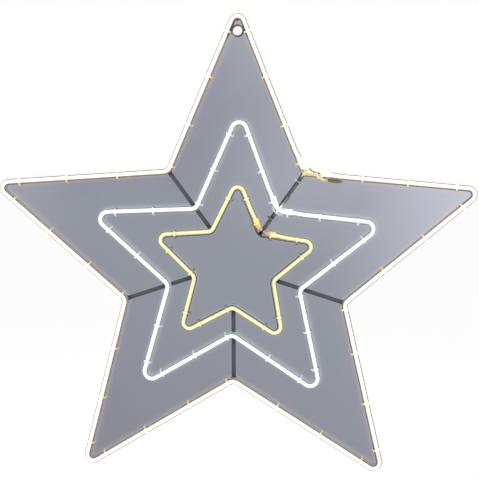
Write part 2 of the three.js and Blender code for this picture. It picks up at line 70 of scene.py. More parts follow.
MM = 0.001
ARM_COUNT = 5
CORNER_COUNT = 2 * ARM_COUNT
FEED_VALLEY = 1
VALLEY_NAMES = ("upper_right", "lower_right", "bottom", "lower_left", "upper_left")
FRONT = Vector((0, -1, 0))
SHARP_ANGLE = math.radians(40)

# Gaps and sizes that several assemblies share
SEAT_GAP = 0.3
STRAP_GAP = 0.3
BOOT_GAP = 0.25
BOOT_WALL = 0.6
BAR_THICKNESS = 1.5
BAR_DEPTH = 12.0
SPOKE_WIDTH = 5.0
SPOKE_DEPTH = 3.0
TUBE_WIDTH = 5.6
TUBE_DEPTH = 10.0
RING_RADIUS = 7.5
WIRE_RADIUS = 1.4
WIRE_GAP = 0.5
WIRE_STRAIGHT = 1.0
WIRE_ON_SPOKE = SPOKE_DEPTH + SEAT_GAP + WIRE_RADIUS
BOOT_MIDDLE = SEAT_GAP + BOOT_GAP + BOOT_WALL + TUBE_WIDTH / 2

# Where a boot's closed end is, from the feed valley: the outer tube's first boot, and every other
SUPPLY_BOOT_AT = 21.0
BOOT_AT = 7.0

# No light
DARK = (0.0, 0.0, 0.0)


def srgb(*seen: int) -> tuple[float, ...]:
    """Turns a colour as seen, each channel 0 to 255, into the linear colour that shaders use."""
    shares = [value / 255 for value in seen]
    return tuple(part / 12.92 if part <= 0.04045 else ((part + 0.055) / 1.055) ** 2.4 for part in shares)


def dimmed(colour: tuple, share: float) -> tuple:
    """Gives a share of a colour."""
    return tuple(share * part for part in colour)


def clamp(value: float) -> float:
    """Keeps a value between 0 and 1."""
    return min(1.0, max(0.0, value))


def heading(bearing: float) -> Vector:
    """Gives the drawn unit vector at a bearing in radians, clockwise from straight up."""
    return Vector((math.sin(bearing), math.cos(bearing)))


# The star's lines


@dataclass(frozen=True)
class Star:
    """The outer face of one star frame, as a line with rounded tips and valleys."""

    name: str  # The frame's name
    tip_corner: float  # Where the sides would meet at a tip, from the centre
    valley_corner: float  # Where they would meet in a valley
    tip_bend: float  # Radius of the tips
    valley_bend: float  # Radius of the valleys
    turn: float  # How far the star is turned clockwise, in radians
    base: float  # Height of the frame's back edge

    @property
    def arm(self) -> float:
        """Angle between a tip and the next valley."""
        return math.pi / ARM_COUNT

    @property
    def tip_half_angle(self) -> float:
        """Half the angle between the sides of a tip."""
        across = self.valley_corner * math.sin(self.arm)
        return math.atan2(across, self.tip_corner - self.valley_corner * math.cos(self.arm))

    def is_tip(self, index: int) -> bool:
        """Says whether a corner is a tip. Corners are counted clockwise from the top tip."""
        return index % 2 == 0

    def half_angle(self, index: int) -> float:
        """Half the angle between the sides at a corner."""
        return self.tip_half_angle if self.is_tip(index) else self.tip_half_angle + self.arm

    def bearing(self, index: int) -> float:
        """Bearing of a corner."""
        return self.turn + index * self.arm

    def corner(self, index: int) -> Vector:
        """Drawn place of a corner before rounding."""
        reach = self.tip_corner if self.is_tip(index) else self.valley_corner
        return heading(self.bearing(index)) * reach

    def bend(self, index: int) -> float:
        """Radius of a corner's bend."""
        return self.tip_bend if self.is_tip(index) else self.valley_bend

    def bend_centre(self, index: int) -> Vector:
        """Drawn centre of a corner's bend."""
        reach = self.bend(index) / math.sin(self.half_angle(index)) * (-1 if self.is_tip(index) else 1)
        return self.corner(index) + heading(self.bearing(index)) * reach

    def bend_angle(self, index: int) -> float:
        """How far the line turns at a corner, clockwise at tips and anticlockwise in valleys."""
        turned = math.pi - 2 * self.half_angle(index)
        return turned if self.is_tip(index) else -turned

    def bend_start(self, index: int) -> float:
        """Distance from a corner to where its bend starts."""
        return self.bend(index) / math.tan(self.half_angle(index))

    def valley_reach(self) -> float:
        """Where the rounded valley comes closest to the centre."""
        half = self.half_angle(FEED_VALLEY)
        return self.valley_corner + self.valley_bend / math.sin(half) - self.valley_bend

    def side_length(self) -> float:
        """Length of a side from corner to corner."""
        return (self.corner(1) - self.corner(0)).length

    def straight_length(self, index: int) -> float:
        """Length of the straight between the bends of a corner and the next."""
        return self.side_length() - self.bend_start(index) - self.bend_start(index + 1)

    def side(self, index: int, step: int) -> tuple[Vector, Vector]:
        """Drawn directions along and out of the side that leaves a corner, clockwise (1) or not (-1)."""
        along = (self.corner(index + step) - self.corner(index)).normalized()
        return along, Vector((-along.y, along.x)) * step

    def on_side(self, index: int, step: int, distance: float, offset: float = 0.0) -> Vector:
        """Drawn point at a distance along a side, as side() gives it, and an offset out of the star."""
        along, outward = self.side(index, step)
        return self.corner(index) + along * distance + outward * offset

    def offset_of(self, point: Vector) -> float:
        """Distance of a drawn point from the rounded line.

        Args:
            point: The point.

        Returns:
            The distance, which counts outwards.
        """
        bearing = math.atan2(point.x, point.y) - self.turn
        folded = heading(abs((bearing + self.arm) % (2 * self.arm) - self.arm)) * point.length
        tip, valley = heading(0) * self.tip_corner, heading(self.arm) * self.valley_corner
        along = (valley - tip).normalized()
        run = (folded - tip).dot(along)
        if run < self.bend_start(0):
            centre = tip - heading(0) * (self.tip_bend / math.sin(self.half_angle(0)))
            return (folded - centre).length - self.tip_bend
        if run > self.side_length() - self.bend_start(1):
            centre = valley + heading(self.arm) * (self.valley_bend / math.sin(self.half_angle(1)))
            return self.valley_bend - (folded - centre).length
        return (folded - tip).dot(Vector((-along.y, along.x)))

    def near_valley(self, across: float, beyond: float, height: float) -> Vector:
        """Drawn point near the feed valley.

        Args:
            across: Distance clockwise across the valley's bearing.
            beyond: Distance outwards from its sharp corner.
            height: Height from the wall.

        Returns:
            The drawn x, y and height.
        """
        out = heading(self.bearing(FEED_VALLEY))
        point = self.corner(FEED_VALLEY) + out * beyond + Vector((out.y, -out.x)) * across
        return Vector((point.x, point.y, height))


# Height of the back edges of the middle and inner frames, which lie on the spokes
RAISED = SPOKE_DEPTH + SEAT_GAP
OUTER = Star("outer", 317.9, 142.4, 5.5, 12.0, 0.0, 0.0)
MIDDLE = Star("middle", 188.9, 83.8, 6.9, 12.0, 0.022, RAISED)
INNER = Star("inner", 104.0, 48.9, 5.1, 11.0, 0.032, RAISED)

# Distance of the ring's middle from the outer frame's line, and its height over the star's centre
RING_INSET = BAR_THICKNESS + SEAT_GAP + RING_RADIUS
HANGING_HEIGHT = OUTER.tip_corner - RING_INSET / math.sin(OUTER.tip_half_angle)

# Drawn places of the three feed valleys, for the finishes
OUTER_VALLEY = (83.7, 115.2)
MIDDLE_VALLEY = (50.7, 66.7)
INNER_VALLEY = (30.0, 38.6)


def place(x: float, y: float, height: float) -> Vector:
    """Turns a drawn point and its height from the wall into the row frame in metres."""
    return Vector((x, -height, y - HANGING_HEIGHT)) * MM


def drawn_place(point: Vector) -> Vector:
    """Turns a point of the row frame back into its drawn x and y."""
    return Vector((point.x / MM, point.z / MM + HANGING_HEIGHT))


def direction(drawn: Vector) -> Vector:
    """Turns a drawn direction in the plane into the row frame."""
    return Vector((drawn.x, 0.0, drawn.y))


def seat_matrix(point: Vector, outward: Vector, height: float) -> Matrix:
    """Matrix that seats a piece on a frame.

    Args:
        point: The drawn point.
        outward: The drawn direction out of the star.
        height: Height of the piece's origin.

    Returns:
        The matrix whose x points outwards, y out of the wall and z clockwise along the frame.
    """
    x = direction(outward)
    matrix = Matrix((x, FRONT, x.cross(FRONT))).transposed().to_4x4()
    return Matrix.Translation(place(point.x, point.y, height)) @ matrix


def axis_matrix(start: Vector, axis: Vector) -> Matrix:
    """Matrix that stands a turned piece on a start, with its z along an axis, both in the row frame."""
    return Matrix.Translation(start) @ axis.to_track_quat("Z", "Y").to_matrix().to_4x4()


def section_at(point: Vector, outward: Vector, corners: Iterable[tuple[float, float]]) -> list[Vector]:
    """Places a section's corners beside a drawn point, each by its offset outwards and its height."""
    spots = [(point + outward * offset, height) for offset, height in corners]
    return [place(spot.x, spot.y, height) for spot, height in spots]


# Shader expressions


class Field:
    """A value inside a material's node tree. Arithmetic on it adds the Math nodes."""

    def __init__(self, tree: "ShaderTree", socket: bpy.types.NodeSocket) -> None:
        """Wraps an output socket of a tree."""
        self.tree = tree
        self.socket = socket

    def __add__(self, other: "Field | float") -> "Field":
        """Adds."""
        return self.tree.math("ADD", self, other)

    def __radd__(self, other: float) -> "Field":
        """Adds, with the number first."""
        return self.tree.math("ADD", other, self)

    def __sub__(self, other: "Field | float") -> "Field":
        """Subtracts."""
        return self.tree.math("SUBTRACT", self, other)

    def __rsub__(self, other: float) -> "Field":
        """Subtracts from a number."""
        return self.tree.math("SUBTRACT", other, self)

    def __mul__(self, other: "Field | float") -> "Field":
        """Multiplies."""
        return self.tree.math("MULTIPLY", self, other)

    def __rmul__(self, other: float) -> "Field":
        """Multiplies, with the number first."""
        return self.tree.math("MULTIPLY", other, self)

    def __neg__(self) -> "Field":
        """Changes the sign."""
        return self.tree.math("MULTIPLY", self, -1.0)

    def power(self, exponent: float) -> "Field":
        """Raises to a power."""
        return self.tree.math("POWER", self, exponent)

    def ramp(self, low: float, high: float) -> "Field":
        """Goes smoothly from 0 to 1 as the value goes from low to high."""
        stops = {"Value": self, "From Min": low, "From Max": high}
        return self.tree.take("ShaderNodeMapRange", {"interpolation_type": "SMOOTHSTEP"}, stops)


Value = Field | float | tuple


class ShaderTree:
    """A material's node tree, with the few kinds of node that the finishes need."""

    def __init__(self, tree: bpy.types.NodeTree) -> None:
        """Empties a material's or world's node tree and takes it over."""
        self.tree = tree
        tree.nodes.clear()

    def add(self, kind: str, settings: dict | None = None, inputs: dict | None = None) -> bpy.types.Node:
        """Makes a node.

        Args:
            kind: The node's type name.
            settings: Properties to set on the node.
            inputs: Values or fields for its inputs, by name or number.

        Returns:
            The node.
        """
        node = self.tree.nodes.new(kind)
        for name, value in (settings or {}).items():
            setattr(node, name, value)
        for name, value in (inputs or {}).items():
            self.feed(node.inputs[name], value)
        return node

    def feed(self, socket: bpy.types.NodeSocket, value: Value) -> None:
        """Links a field to an input socket, or sets the socket's own value.

        Args:
            socket: The input socket.
            value: A field, a number, or a colour or vector.
        """
        if isinstance(value, Field):
            self.tree.links.new(value.socket, socket)
        elif isinstance(value, tuple) and socket.type == "RGBA":
            socket.default_value = (*value[:3], 1.0)
        else:
            socket.default_value = value

    def take(
        self, kind: str, settings: dict | None = None, inputs: dict | None = None, output: int | str = 0
    ) -> Field:
        """Makes a node as add() does and gives one of its outputs."""
        return Field(self, self.add(kind, settings, inputs).outputs[output])

    def math(self, operation: str, first: Field | float, second: Field | float) -> Field:
        """Adds a Math node."""
        return self.take("ShaderNodeMath", {"operation": operation}, {0: first, 1: second})

    def mix(self, first: Value, second: Value, share: Value) -> Field:
        """Mixes two colours by the share of the second."""
        settings = {"data_type": "RGBA", "clamp_factor": True}
        return self.take("ShaderNodeMix", settings, {0: share, 6: first, 7: second}, 2)

    def point(self) -> Field:
        """Gives the place on the piece, in metres in the row frame."""
        return self.take("ShaderNodeTexCoord", output="Object")

    def axes(self, vector: Field) -> tuple[Field, Field, Field]:
        """Splits a vector into its x, y and z."""
        node = self.add("ShaderNodeSeparateXYZ", inputs={0: vector})
        return tuple(Field(self, output) for output in node.outputs)

    def attribute(self, name: str) -> Field:
        """Reads a number stored on the piece's mesh."""
        return self.take("ShaderNodeAttribute", {"attribute_name": name}, output="Fac")

    def distance_from(self, x: float, y: float) -> Field:
        """Gives the distance in the star's plane from a drawn point.

        Args:
            x: The point's drawn x.
            y: Its drawn y.

        Returns:
            The distance in metres.
        """
        right, _, up = self.axes(self.point())
        across = right - x * MM
        above = up - (y - HANGING_HEIGHT) * MM
        return (across * across + above * above).power(0.5)

    def facing_front(self) -> Field:
        """Gives how far the surface faces the star's front: 1 straight on, 0 at the sides."""
        normal = self.take("ShaderNodeTexCoord", output="Normal")
        return -self.axes(normal)[1]

    def noise(self, scale: float, detail: float = 2.0, roughness: float = 0.5) -> Field:
        """Gives smooth noise from 0 to 1: waves per metre, number of finer layers and their weight."""
        inputs = {"Vector": self.point(), "Scale": scale, "Detail": detail, "Roughness": roughness}
        return self.take("ShaderNodeTexNoise", inputs=inputs)

    def bump(self, height: Field, distance: float, strength: float) -> Field:
        """Turns a height from 0 to 1, its real depth in metres and a share of the effect into a normal."""
        inputs = {"Height": height, "Distance": distance, "Strength": strength}
        return self.take("ShaderNodeBump", inputs=inputs)

    def surface(self, inputs: dict) -> Field:
        """Adds a Principled shader."""
        return self.take("ShaderNodeBsdfPrincipled", inputs=inputs)

    def emission(self, colour: Value) -> Field:
        """Adds an Emission shader at a strength of 1."""
        return self.take("ShaderNodeEmission", inputs={"Color": colour})

    def clear(self) -> Field:
        """Adds a shader that lets everything through."""
        return self.take("ShaderNodeBsdfTransparent")

    def behind(self) -> Field:
        """Gives 1 where the surface is seen from behind and 0 elsewhere."""
        return self.take("ShaderNodeNewGeometry", output="Backfacing")

    def shader_mix(self, first: Field, second: Field, share: Value) -> Field:
        """Mixes two shaders."""
        return self.take("ShaderNodeMixShader", inputs={0: share, 1: first, 2: second})

    def finish(self, shader: Field, kind: str = "ShaderNodeOutputMaterial") -> None:
        """Sends a shader to the tree's output."""
        self.add(kind, inputs={"Surface": shader})


def new_material(name: str, build: Callable[[ShaderTree], Field]) -> Material:
    """Makes a material from a function that builds its shader.

    Args:
        name: The material's name.
        build: Builds the shader in the tree that it is given.

    Returns:
        The material.
    """
    material = bpy.data.materials.new(name)
    material.use_nodes = True
    tree = ShaderTree(material.node_tree)
    tree.finish(build(tree))
    return material


# Finishes


@dataclass(frozen=True)
class Tint:
    """Tone of the paint round one place, used for painted light, painted shade and a darker patch."""

    edge: tuple  # The colour of the front edges there
    face: tuple  # The colour of the faces there
    place: tuple  # The drawn place
    near: float  # Distance from it up to which the tint is full, in millimetres
    far: float  # Distance at which it ends
    share: float  # How much of it there is, from 0 to 1


@dataclass(frozen=True)
class PaintFinish:
    """Satin paint on steel bar: orange peel, dust, rubbed patches and painted light of the tube beside it.
    """

    edge: tuple  # The colour of the front edges, which on the bars is painted glow of their tube
    face: tuple  # The colour of the faces between front and back, which on the bars is painted light
    rubbed: tuple  # The colour where the paint is thin
    # The colour of the front edges round the tips, which lie outside tip_reach: a darker painted glow
    tips: tuple = srgb(80, 58, 46)
    # Distance from the star's centre where the tips' colour sets in, in millimetres
    tip_reach: float = 1000.0
    tip_fade: float = 22.0  # Length over which it sets in
    tints: tuple[Tint, ...] = ()  # Tones round single places
    gloss: float = 0.42  # Roughness where the paint is whole

    def shader(self, tree: ShaderTree) -> Field:
        """Builds the paint.

        Args:
            tree: The material's tree.

        Returns:
            Its shader.
        """
        # Painted light: front edges and faces take their own colours by which way they face
        front = tree.facing_front().ramp(0.35, 0.75)
        reach = tree.distance_from(0, 0).ramp(self.tip_reach * MM, (self.tip_reach + self.tip_fade) * MM)
        colour = tree.mix(self.face, tree.mix(self.edge, self.tips, reach), front)
        for tint in self.tints:
            near = 1 - tree.distance_from(*tint.place).ramp(tint.near * MM, tint.far * MM)
            colour = tree.mix(colour, tree.mix(tint.face, tint.edge, front), near * tint.share)
        patches = tree.noise(70, 4, 0.6).ramp(0.52, 0.78)
        specks = tree.noise(900, 2).ramp(0.62, 0.74)
        return tree.surface(
            {
                "Base Color": tree.mix(colour, self.rubbed, patches * 0.35 + specks * 0.25),
                "Metallic": 0.2,
                "Roughness": self.gloss + patches * 0.2 - specks * 0.08,
                "Normal": tree.bump(tree.noise(1400, 2), 0.00006, 0.5),
            }
        )


@dataclass(frozen=True)
class BareSteelFinish:
    """Sawn and tumbled steel with stains."""

    colour: tuple = srgb(86, 86, 88)  # The steel
    stain: tuple = srgb(58, 54, 50)  # The stains

    def shader(self, tree: ShaderTree) -> Field:
        """Builds the steel.

        Args:
            tree: The material's tree.

        Returns:
            Its shader.
        """
        stain = tree.noise(260, 4, 0.6)
        return tree.surface(
            {
                "Base Color": tree.mix(self.colour, self.stain, stain.ramp(0.5, 0.75)),
                "Metallic": 0.7,
                "Roughness": 0.34 + stain * 0.25,
                "Normal": tree.bump(tree.noise(2600, 3), 0.00004, 0.6),
            }
        )


@dataclass(frozen=True)
class LitSiliconeFinish:
    """Silicone tube lit from inside: a bright diffuser in front, a milky channel at its sides and back,
    with painted shade on the diffuser's outer flank and the channel's sides.
    """

    body: tuple  # The diffuser
    core: tuple  # The light through the diffuser, next to the frame
    outer_core: tuple  # The light through it on the far side from the frame
    shaded_rim: tuple  # Painted shade on the outer flank of the diffuser, seen edge on
    rim_light: tuple  # The light through that flank
    side: tuple  # The channel's sides, darker than its back as painted shade
    glow: tuple  # The light through them
    back: tuple = (0.62, 0.62, 0.6)  # The channel's back

    def shader(self, tree: ShaderTree) -> Field:
        """Builds the lit silicone.

        Args:
            tree: The material's tree.

        Returns:
            Its shader.
        """
        front = tree.facing_front()
        dome = front.ramp(0.76, 0.88)
        flank = front.ramp(0.0, 0.12)
        across = tree.attribute("outer")
        outer = across.ramp(0.5, 0.6)
        haze = tree.noise(45, 3)
        body = tree.mix(dimmed(self.body, 0.9), self.body, haze)
        # Painted shade on the outer half of the dome's flank
        shaded_rim = tree.mix(body, self.shaded_rim, outer)
        rim_light = tree.mix(dimmed(self.core, 0.85), self.rim_light, outer)
        core = tree.mix(self.core, self.outer_core, across.ramp(0.2, 0.8))
        # Painted shade: the channel's sides darker than its back
        channel = tree.mix(self.side, self.back, (-front).ramp(0.4, 0.8))
        return tree.surface(
            {
                "Base Color": tree.mix(tree.mix(channel, shaded_rim, flank), body, dome),
                "Roughness": 0.5 - dome * 0.16 + haze * 0.12,
                "Emission Color": tree.mix(tree.mix(self.glow, rim_light, flank), core, dome),
                "Emission Strength": 1.0,
                "Normal": tree.bump(tree.noise(600, 2), 0.00005, 0.4),
            }
        )


@dataclass(frozen=True)
class NylonFinish:
    """Natural nylon, slightly cloudy, that glows where it lies over the lit tube."""

    colour: tuple  # The nylon away from the tube
    over_colour: tuple  # The nylon over the tube
    glow: tuple = DARK  # The light that reaches its head and tail
    over_tube: tuple = DARK  # The light that comes through it over the tube
    side_share: float = 0.65  # How much of the light its sides show
    # The nylon beyond the tube, which lets the tone of what is behind it through
    away: tuple = srgb(146, 148, 155)

    def shader(self, tree: ShaderTree) -> Field:
        """Builds the nylon.

        Args:
            tree: The material's tree.

        Returns:
            Its shader.
        """
        cloud = tree.noise(500, 3)
        lit, away = tree.attribute("lit"), tree.attribute("away")
        shine = lit * (tree.facing_front().ramp(0.2, 0.9) * (1 - self.side_share) + self.side_share)
        nylon = tree.mix(self.colour, dimmed(self.colour, 0.72), cloud.ramp(0.4, 0.8))
        glow = tree.mix(self.glow, DARK, away)
        return tree.surface(
            {
                "Base Color": tree.mix(tree.mix(nylon, self.over_colour, lit * 0.85), self.away, away),
                "Roughness": 0.38 + cloud * 0.14,
                "Emission Color": tree.mix(glow, self.over_tube, shine),
                "Emission Strength": 1.0,
                "Normal": tree.bump(tree.noise(1500, 2), 0.00004, 0.5),
            }
        )


@dataclass(frozen=True)
class BootFinish:
    """A clear silicone boot, cloudy with glue, lit by the tube inside and toned at its closed end."""

    body: tuple  # The silicone over the tube
    light: tuple  # The light over the tube
    end_body: tuple  # The silicone at the closed end
    end_light: tuple  # The light at the closed end
    corner: tuple  # Drawn place of the valley that the boot is near
    near: float  # Distance from the corner up to which the closed end's colours hold
    far: float  # Distance from which the tube's colours hold
    slot: str = "clear_boot"  # The record's material slot

    def shader(self, tree: ShaderTree) -> Field:
        """Builds the boot.

        Args:
            tree: The material's tree.

        Returns:
            Its shader.
        """
        glue = tree.noise(330, 4, 0.6)
        reach = tree.distance_from(*self.corner).ramp(self.near * MM, self.far * MM)
        front = tree.facing_front().ramp(0.1, 0.75)
        body = tree.mix(self.end_body, self.body, reach)
        glued = tree.mix(self.end_body, self.body, reach * 0.6)
        dim = tree.mix(dimmed(self.end_light, 0.25), dimmed(self.light, 0.25), reach)
        light = tree.mix(self.end_light, self.light, reach)
        return tree.surface(
            {
                "Base Color": tree.mix(body, glued, glue.ramp(0.45, 0.8)),
                "Roughness": 0.2 + glue * 0.2,
                "Emission Color": tree.mix(dim, light, front),
                "Emission Strength": 1.0,
                "Normal": tree.bump(tree.noise(900, 2), 0.00012, 0.5),
            }
        )


@dataclass(frozen=True)
class CableFinish:
    """Clear insulation over tinned and copper cores, with painted light and glow near the tube ends."""

    bright: tuple  # The lit colour near the tube ends
    dark: tuple  # The colour away from them
    start: float  # Distance from the star's centre where it is dark, in millimetres
    end: float  # Distance where it is bright, in millimetres
    glow: float  # Share of the bright colour that shines

    def shader(self, tree: ShaderTree) -> Field:
        """Builds the cable.

        Args:
            tree: The material's tree.

        Returns:
            Its shader.
        """
        near = tree.distance_from(0, 0).ramp(self.start * MM, self.end * MM)
        grain = tree.noise(420, 3)
        colour = tree.mix(self.dark, self.bright, near)
        return tree.surface(
            {
                "Base Color": tree.mix(colour, dimmed(self.dark, 0.5), grain.ramp(0.55, 0.8) * 0.6),
                "Roughness": 0.25 + grain * 0.15,
                "Emission Color": tree.mix(DARK, dimmed(self.bright, self.glow), near),
                "Emission Strength": 1.0,
                "Normal": tree.bump(grain, 0.0001, 0.4),
            }
        )


@dataclass(frozen=True)
class ShrinkFinish:
    """Shrunk tubing, wrinkled, matt, lighter on the ridges."""

    colour: tuple  # The tubing
    ridge: tuple  # The colour on its ridges

    def shader(self, tree: ShaderTree) -> Field:
        """Builds the tubing.

        Args:
            tree: The material's tree.

        Returns:
            Its shader.
        """
        wrinkle = tree.noise(380, 4, 0.65)
        return tree.surface(
            {
                "Base Color": tree.mix(self.colour, self.ridge, wrinkle.ramp(0.48, 0.7)),
                "Roughness": 0.5 + wrinkle * 0.2,
                "Normal": tree.bump(wrinkle, 0.0003, 0.6),
            }
        )


@dataclass(frozen=True)
class StripFinish:
    """White solder mask of the LED strip, with the chips' phosphor spots along it."""

    mask: tuple = srgb(238, 236, 228)  # The solder mask
    spot: tuple = srgb(248, 226, 150)  # The spots

    def shader(self, tree: ShaderTree) -> Field:
        """Builds the strip.

        Args:
            tree: The material's tree.

        Returns:
            Its shader.
        """
        spots = tree.noise(240, 2).ramp(0.55, 0.62)
        colour = tree.mix(self.mask, self.spot, spots)
        return tree.surface({"Base Color": colour, "Roughness": 0.45 + spots * 0.1})


# Every finish of the star, by its name
FINISHES = {
    # The bars are one dark paint: their edge, face, rubbed and tip colours are painted light of the tube
    # beside each
    "outer_paint": PaintFinish(
        edge=srgb(122, 93, 62), face=srgb(186, 184, 188), rubbed=srgb(166, 136, 100), tip_reach=276,
        tints=(
            # Painted shade inside the top tip's legs round the ring
            Tint(srgb(92, 60, 26), srgb(58, 54, 40), (0.0, HANGING_HEIGHT), 9, 19, 0.95),
            # Painted glow of the tube on the edges at the top tip
            Tint(srgb(138, 78, 12), srgb(96, 60, 26), (0.0, HANGING_HEIGHT + 15), 4, 9, 0.95),
        ),
    ),
    "middle_paint": PaintFinish(
        edge=srgb(112, 124, 116), face=srgb(206, 214, 218), rubbed=srgb(166, 178, 172),
        # Painted light of the middle tube's boots round its feed valley
        tints=(Tint(srgb(206, 216, 210), srgb(206, 216, 210), MIDDLE_VALLEY, 5, 13, 0.8),),
    ),
    "inner_paint": PaintFinish(
        edge=srgb(72, 58, 50), face=srgb(206, 206, 214), rubbed=srgb(120, 100, 88),
        # Darker round the inner frame's feed valley
        tints=(Tint(srgb(50, 50, 38), srgb(54, 52, 40), (32.0, 41.2), 5, 12, 0.9),),
    ),
    "spoke_paint": PaintFinish(
        edge=srgb(58, 62, 68), face=srgb(54, 58, 64), rubbed=srgb(82, 87, 93),
        # Painted light of the middle and inner boots on the upper right spoke
        tints=(
            Tint(srgb(112, 118, 122), srgb(90, 95, 98), (37.6, 48.9), 3, 12, 0.75),
            Tint(srgb(140, 150, 144), srgb(120, 130, 124), (56.4, 73.9), 2, 9, 0.7),
        ),
    ),
    "weld": PaintFinish(
        edge=srgb(70, 66, 56), face=srgb(58, 56, 48), rubbed=srgb(104, 92, 74), gloss=0.5
    ),
    "ring": BareSteelFinish(),
    "warm_tube": LitSiliconeFinish(
        body=(0.6, 0.57, 0.52), core=(0.8, 0.77, 0.71), outer_core=(0.8, 0.79, 0.75),
        shaded_rim=(0.22, 0.21, 0.14), rim_light=DARK, side=(0.4, 0.36, 0.3), glow=(0.06, 0.05, 0.03),
    ),
    "cool_tube": LitSiliconeFinish(
        body=(0.56, 0.6, 0.6), core=(0.74, 0.8, 0.8), outer_core=(0.76, 0.83, 0.83), shaded_rim=(0.26, 0.28, 0.3),
        rim_light=(0.05, 0.06, 0.065), side=(0.3, 0.33, 0.36), glow=(0.03, 0.04, 0.045),
    ),
    "yellow_tube": LitSiliconeFinish(
        body=(0.5, 0.48, 0.26), core=(0.42, 0.43, 0.3), outer_core=(0.42, 0.42, 0.18),
        shaded_rim=(0.26, 0.25, 0.17), rim_light=(0.05, 0.05, 0.015), side=(0.32, 0.3, 0.24),
        glow=(0.03, 0.03, 0.01),
    ),
    "strip": StripFinish(),
    # The ties are one natural nylon: warm, cool, dim and amber are copies tinted with painted light of the
    # tube beside each
    "warm_nylon": NylonFinish(
        colour=srgb(206, 184, 144), over_colour=(0.32, 0.3, 0.22), glow=(0.08, 0.06, 0.03),
        over_tube=(0.8, 0.78, 0.73), side_share=0.1, away=srgb(240, 238, 232),
    ),
    "cool_nylon": NylonFinish(
        colour=srgb(186, 194, 204), over_colour=(0.34, 0.37, 0.4), glow=(0.06, 0.08, 0.1),
        over_tube=(0.75, 0.8, 0.8), side_share=0.08,
    ),
    "spoke_nylon": NylonFinish(colour=srgb(186, 192, 192), over_colour=srgb(92, 98, 100)),
    "dusty_nylon": NylonFinish(colour=srgb(96, 101, 104), over_colour=srgb(84, 90, 92)),
    "dim_nylon": NylonFinish(
        colour=srgb(126, 124, 112), over_colour=(0.48, 0.46, 0.27), over_tube=(0.44, 0.44, 0.25),
        side_share=0.08,
    ),
    "amber_nylon": NylonFinish(
        colour=srgb(126, 118, 96), over_colour=(0.5, 0.38, 0.18), glow=(0.02, 0.015, 0.0),
        over_tube=(0.46, 0.34, 0.1), side_share=0.2,
    ),
    "first_boot": BootFinish(
        body=(0.62, 0.56, 0.46), light=(0.78, 0.72, 0.58), end_body=(0.5, 0.36, 0.16),
        end_light=(0.3, 0.2, 0.06), corner=OUTER_VALLEY, near=20, far=25,
    ),
    "last_boot": BootFinish(
        body=(0.62, 0.58, 0.5), light=(0.8, 0.76, 0.68), end_body=(0.6, 0.58, 0.44),
        end_light=(0.76, 0.74, 0.56), corner=OUTER_VALLEY, near=8, far=16,
    ),
    "middle_boot": BootFinish(
        body=(0.56, 0.6, 0.58), light=(0.75, 0.82, 0.8), end_body=(0.56, 0.58, 0.5),
        end_light=(0.62, 0.68, 0.58), corner=MIDDLE_VALLEY, near=6, far=11,
    ),
    "beige_boot": BootFinish(
        body=(0.5, 0.46, 0.22), light=(0.44, 0.41, 0.16), end_body=(0.36, 0.28, 0.19),
        end_light=(0.07, 0.05, 0.03), corner=INNER_VALLEY, near=11.5, far=17,
    ),
    "amber_boot": BootFinish(
        body=(0.54, 0.43, 0.14), light=(0.46, 0.36, 0.07), end_body=(0.46, 0.29, 0.15),
        end_light=(0.22, 0.12, 0.05), corner=INNER_VALLEY, near=8, far=17, slot="amber_boot",
    ),
    # The lead covers and the link sleeve hold no tube: their glow and pale ends near the valleys are
    # painted light of the boots
    "outer_cover": BootFinish(
        body=(0.6, 0.6, 0.48), light=(0.74, 0.74, 0.52), end_body=(0.44, 0.4, 0.12),
        end_light=(0.16, 0.14, 0.03), corner=OUTER_VALLEY, near=5.5, far=12,
    ),
    "middle_cover": BootFinish(
        body=(0.56, 0.6, 0.58), light=(0.74, 0.82, 0.8), end_body=(0.56, 0.6, 0.58),
        end_light=(0.74, 0.82, 0.78), corner=MIDDLE_VALLEY, near=6, far=11,
    ),
    "link_sleeve": BootFinish(
        body=(0.1, 0.11, 0.085), light=DARK, end_body=(0.46, 0.5, 0.42), end_light=(0.2, 0.24, 0.18),
        corner=MIDDLE_VALLEY, near=8, far=21,
    ),
    "supply_cable": CableFinish(srgb(214, 196, 148), srgb(150, 136, 96), 120, 140, 0.22),
    "jumper_cable": CableFinish(srgb(132, 116, 70), srgb(96, 84, 52), 120, 160, 0.1),
    "outer_cable": CableFinish(srgb(212, 192, 138), srgb(88, 96, 88), 137, 144, 0.2),
    "inner_cable": CableFinish(srgb(214, 220, 206), srgb(88, 94, 94), 83, 87, 0.5),
    "middle_lead": CableFinish(srgb(232, 238, 232), srgb(220, 228, 222), 82, 90, 0.7),
    "inner_lead": CableFinish(srgb(92, 84, 60), srgb(66, 60, 44), 48, 60, 0.05),
    "joint_sleeve": ShrinkFinish(colour=srgb(104, 101, 74), ridge=srgb(144, 139, 108)),
}


# Mesh making


def new_object(name: str, mesh: BMesh, material: Material) -> Piece:
    """Turns a finished mesh into an object of the scene.

    Args:
        name: The object's name.
        mesh: The mesh, in the row frame. It is freed.
        material: Its material.

    Returns:
        The object.
    """
    data = bpy.data.meshes.new(name)
    mesh.to_mesh(data)
    mesh.free()
    made = bpy.data.objects.new(name, data)
    bpy.context.scene.collection.objects.link(made)
    data.materials.append(material)
    return made


def add_piece(name: str, mesh: BMesh, material: Material, replaces: Sequence[str] = ()) -> Piece:
    """Turns a finished mesh into a piece of the star.

    Args:
        name: The piece's name.
        mesh: The mesh, in the row frame. It is freed.
        material: Its material.
        replaces: The CAD nodes that it stands for.

    Returns:
        The piece.
    """
    bmesh.ops.recalc_face_normals(mesh, faces=mesh.faces)
    for face in mesh.faces:
        face.smooth = True
    for edge in mesh.edges:
        edge.smooth = edge.is_manifold and edge.calc_face_angle(0.0) < SHARP_ANGLE
    piece = new_object(name, mesh, material)
    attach(piece, "root")
    if replaces:
        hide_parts(*replaces)
    return piece


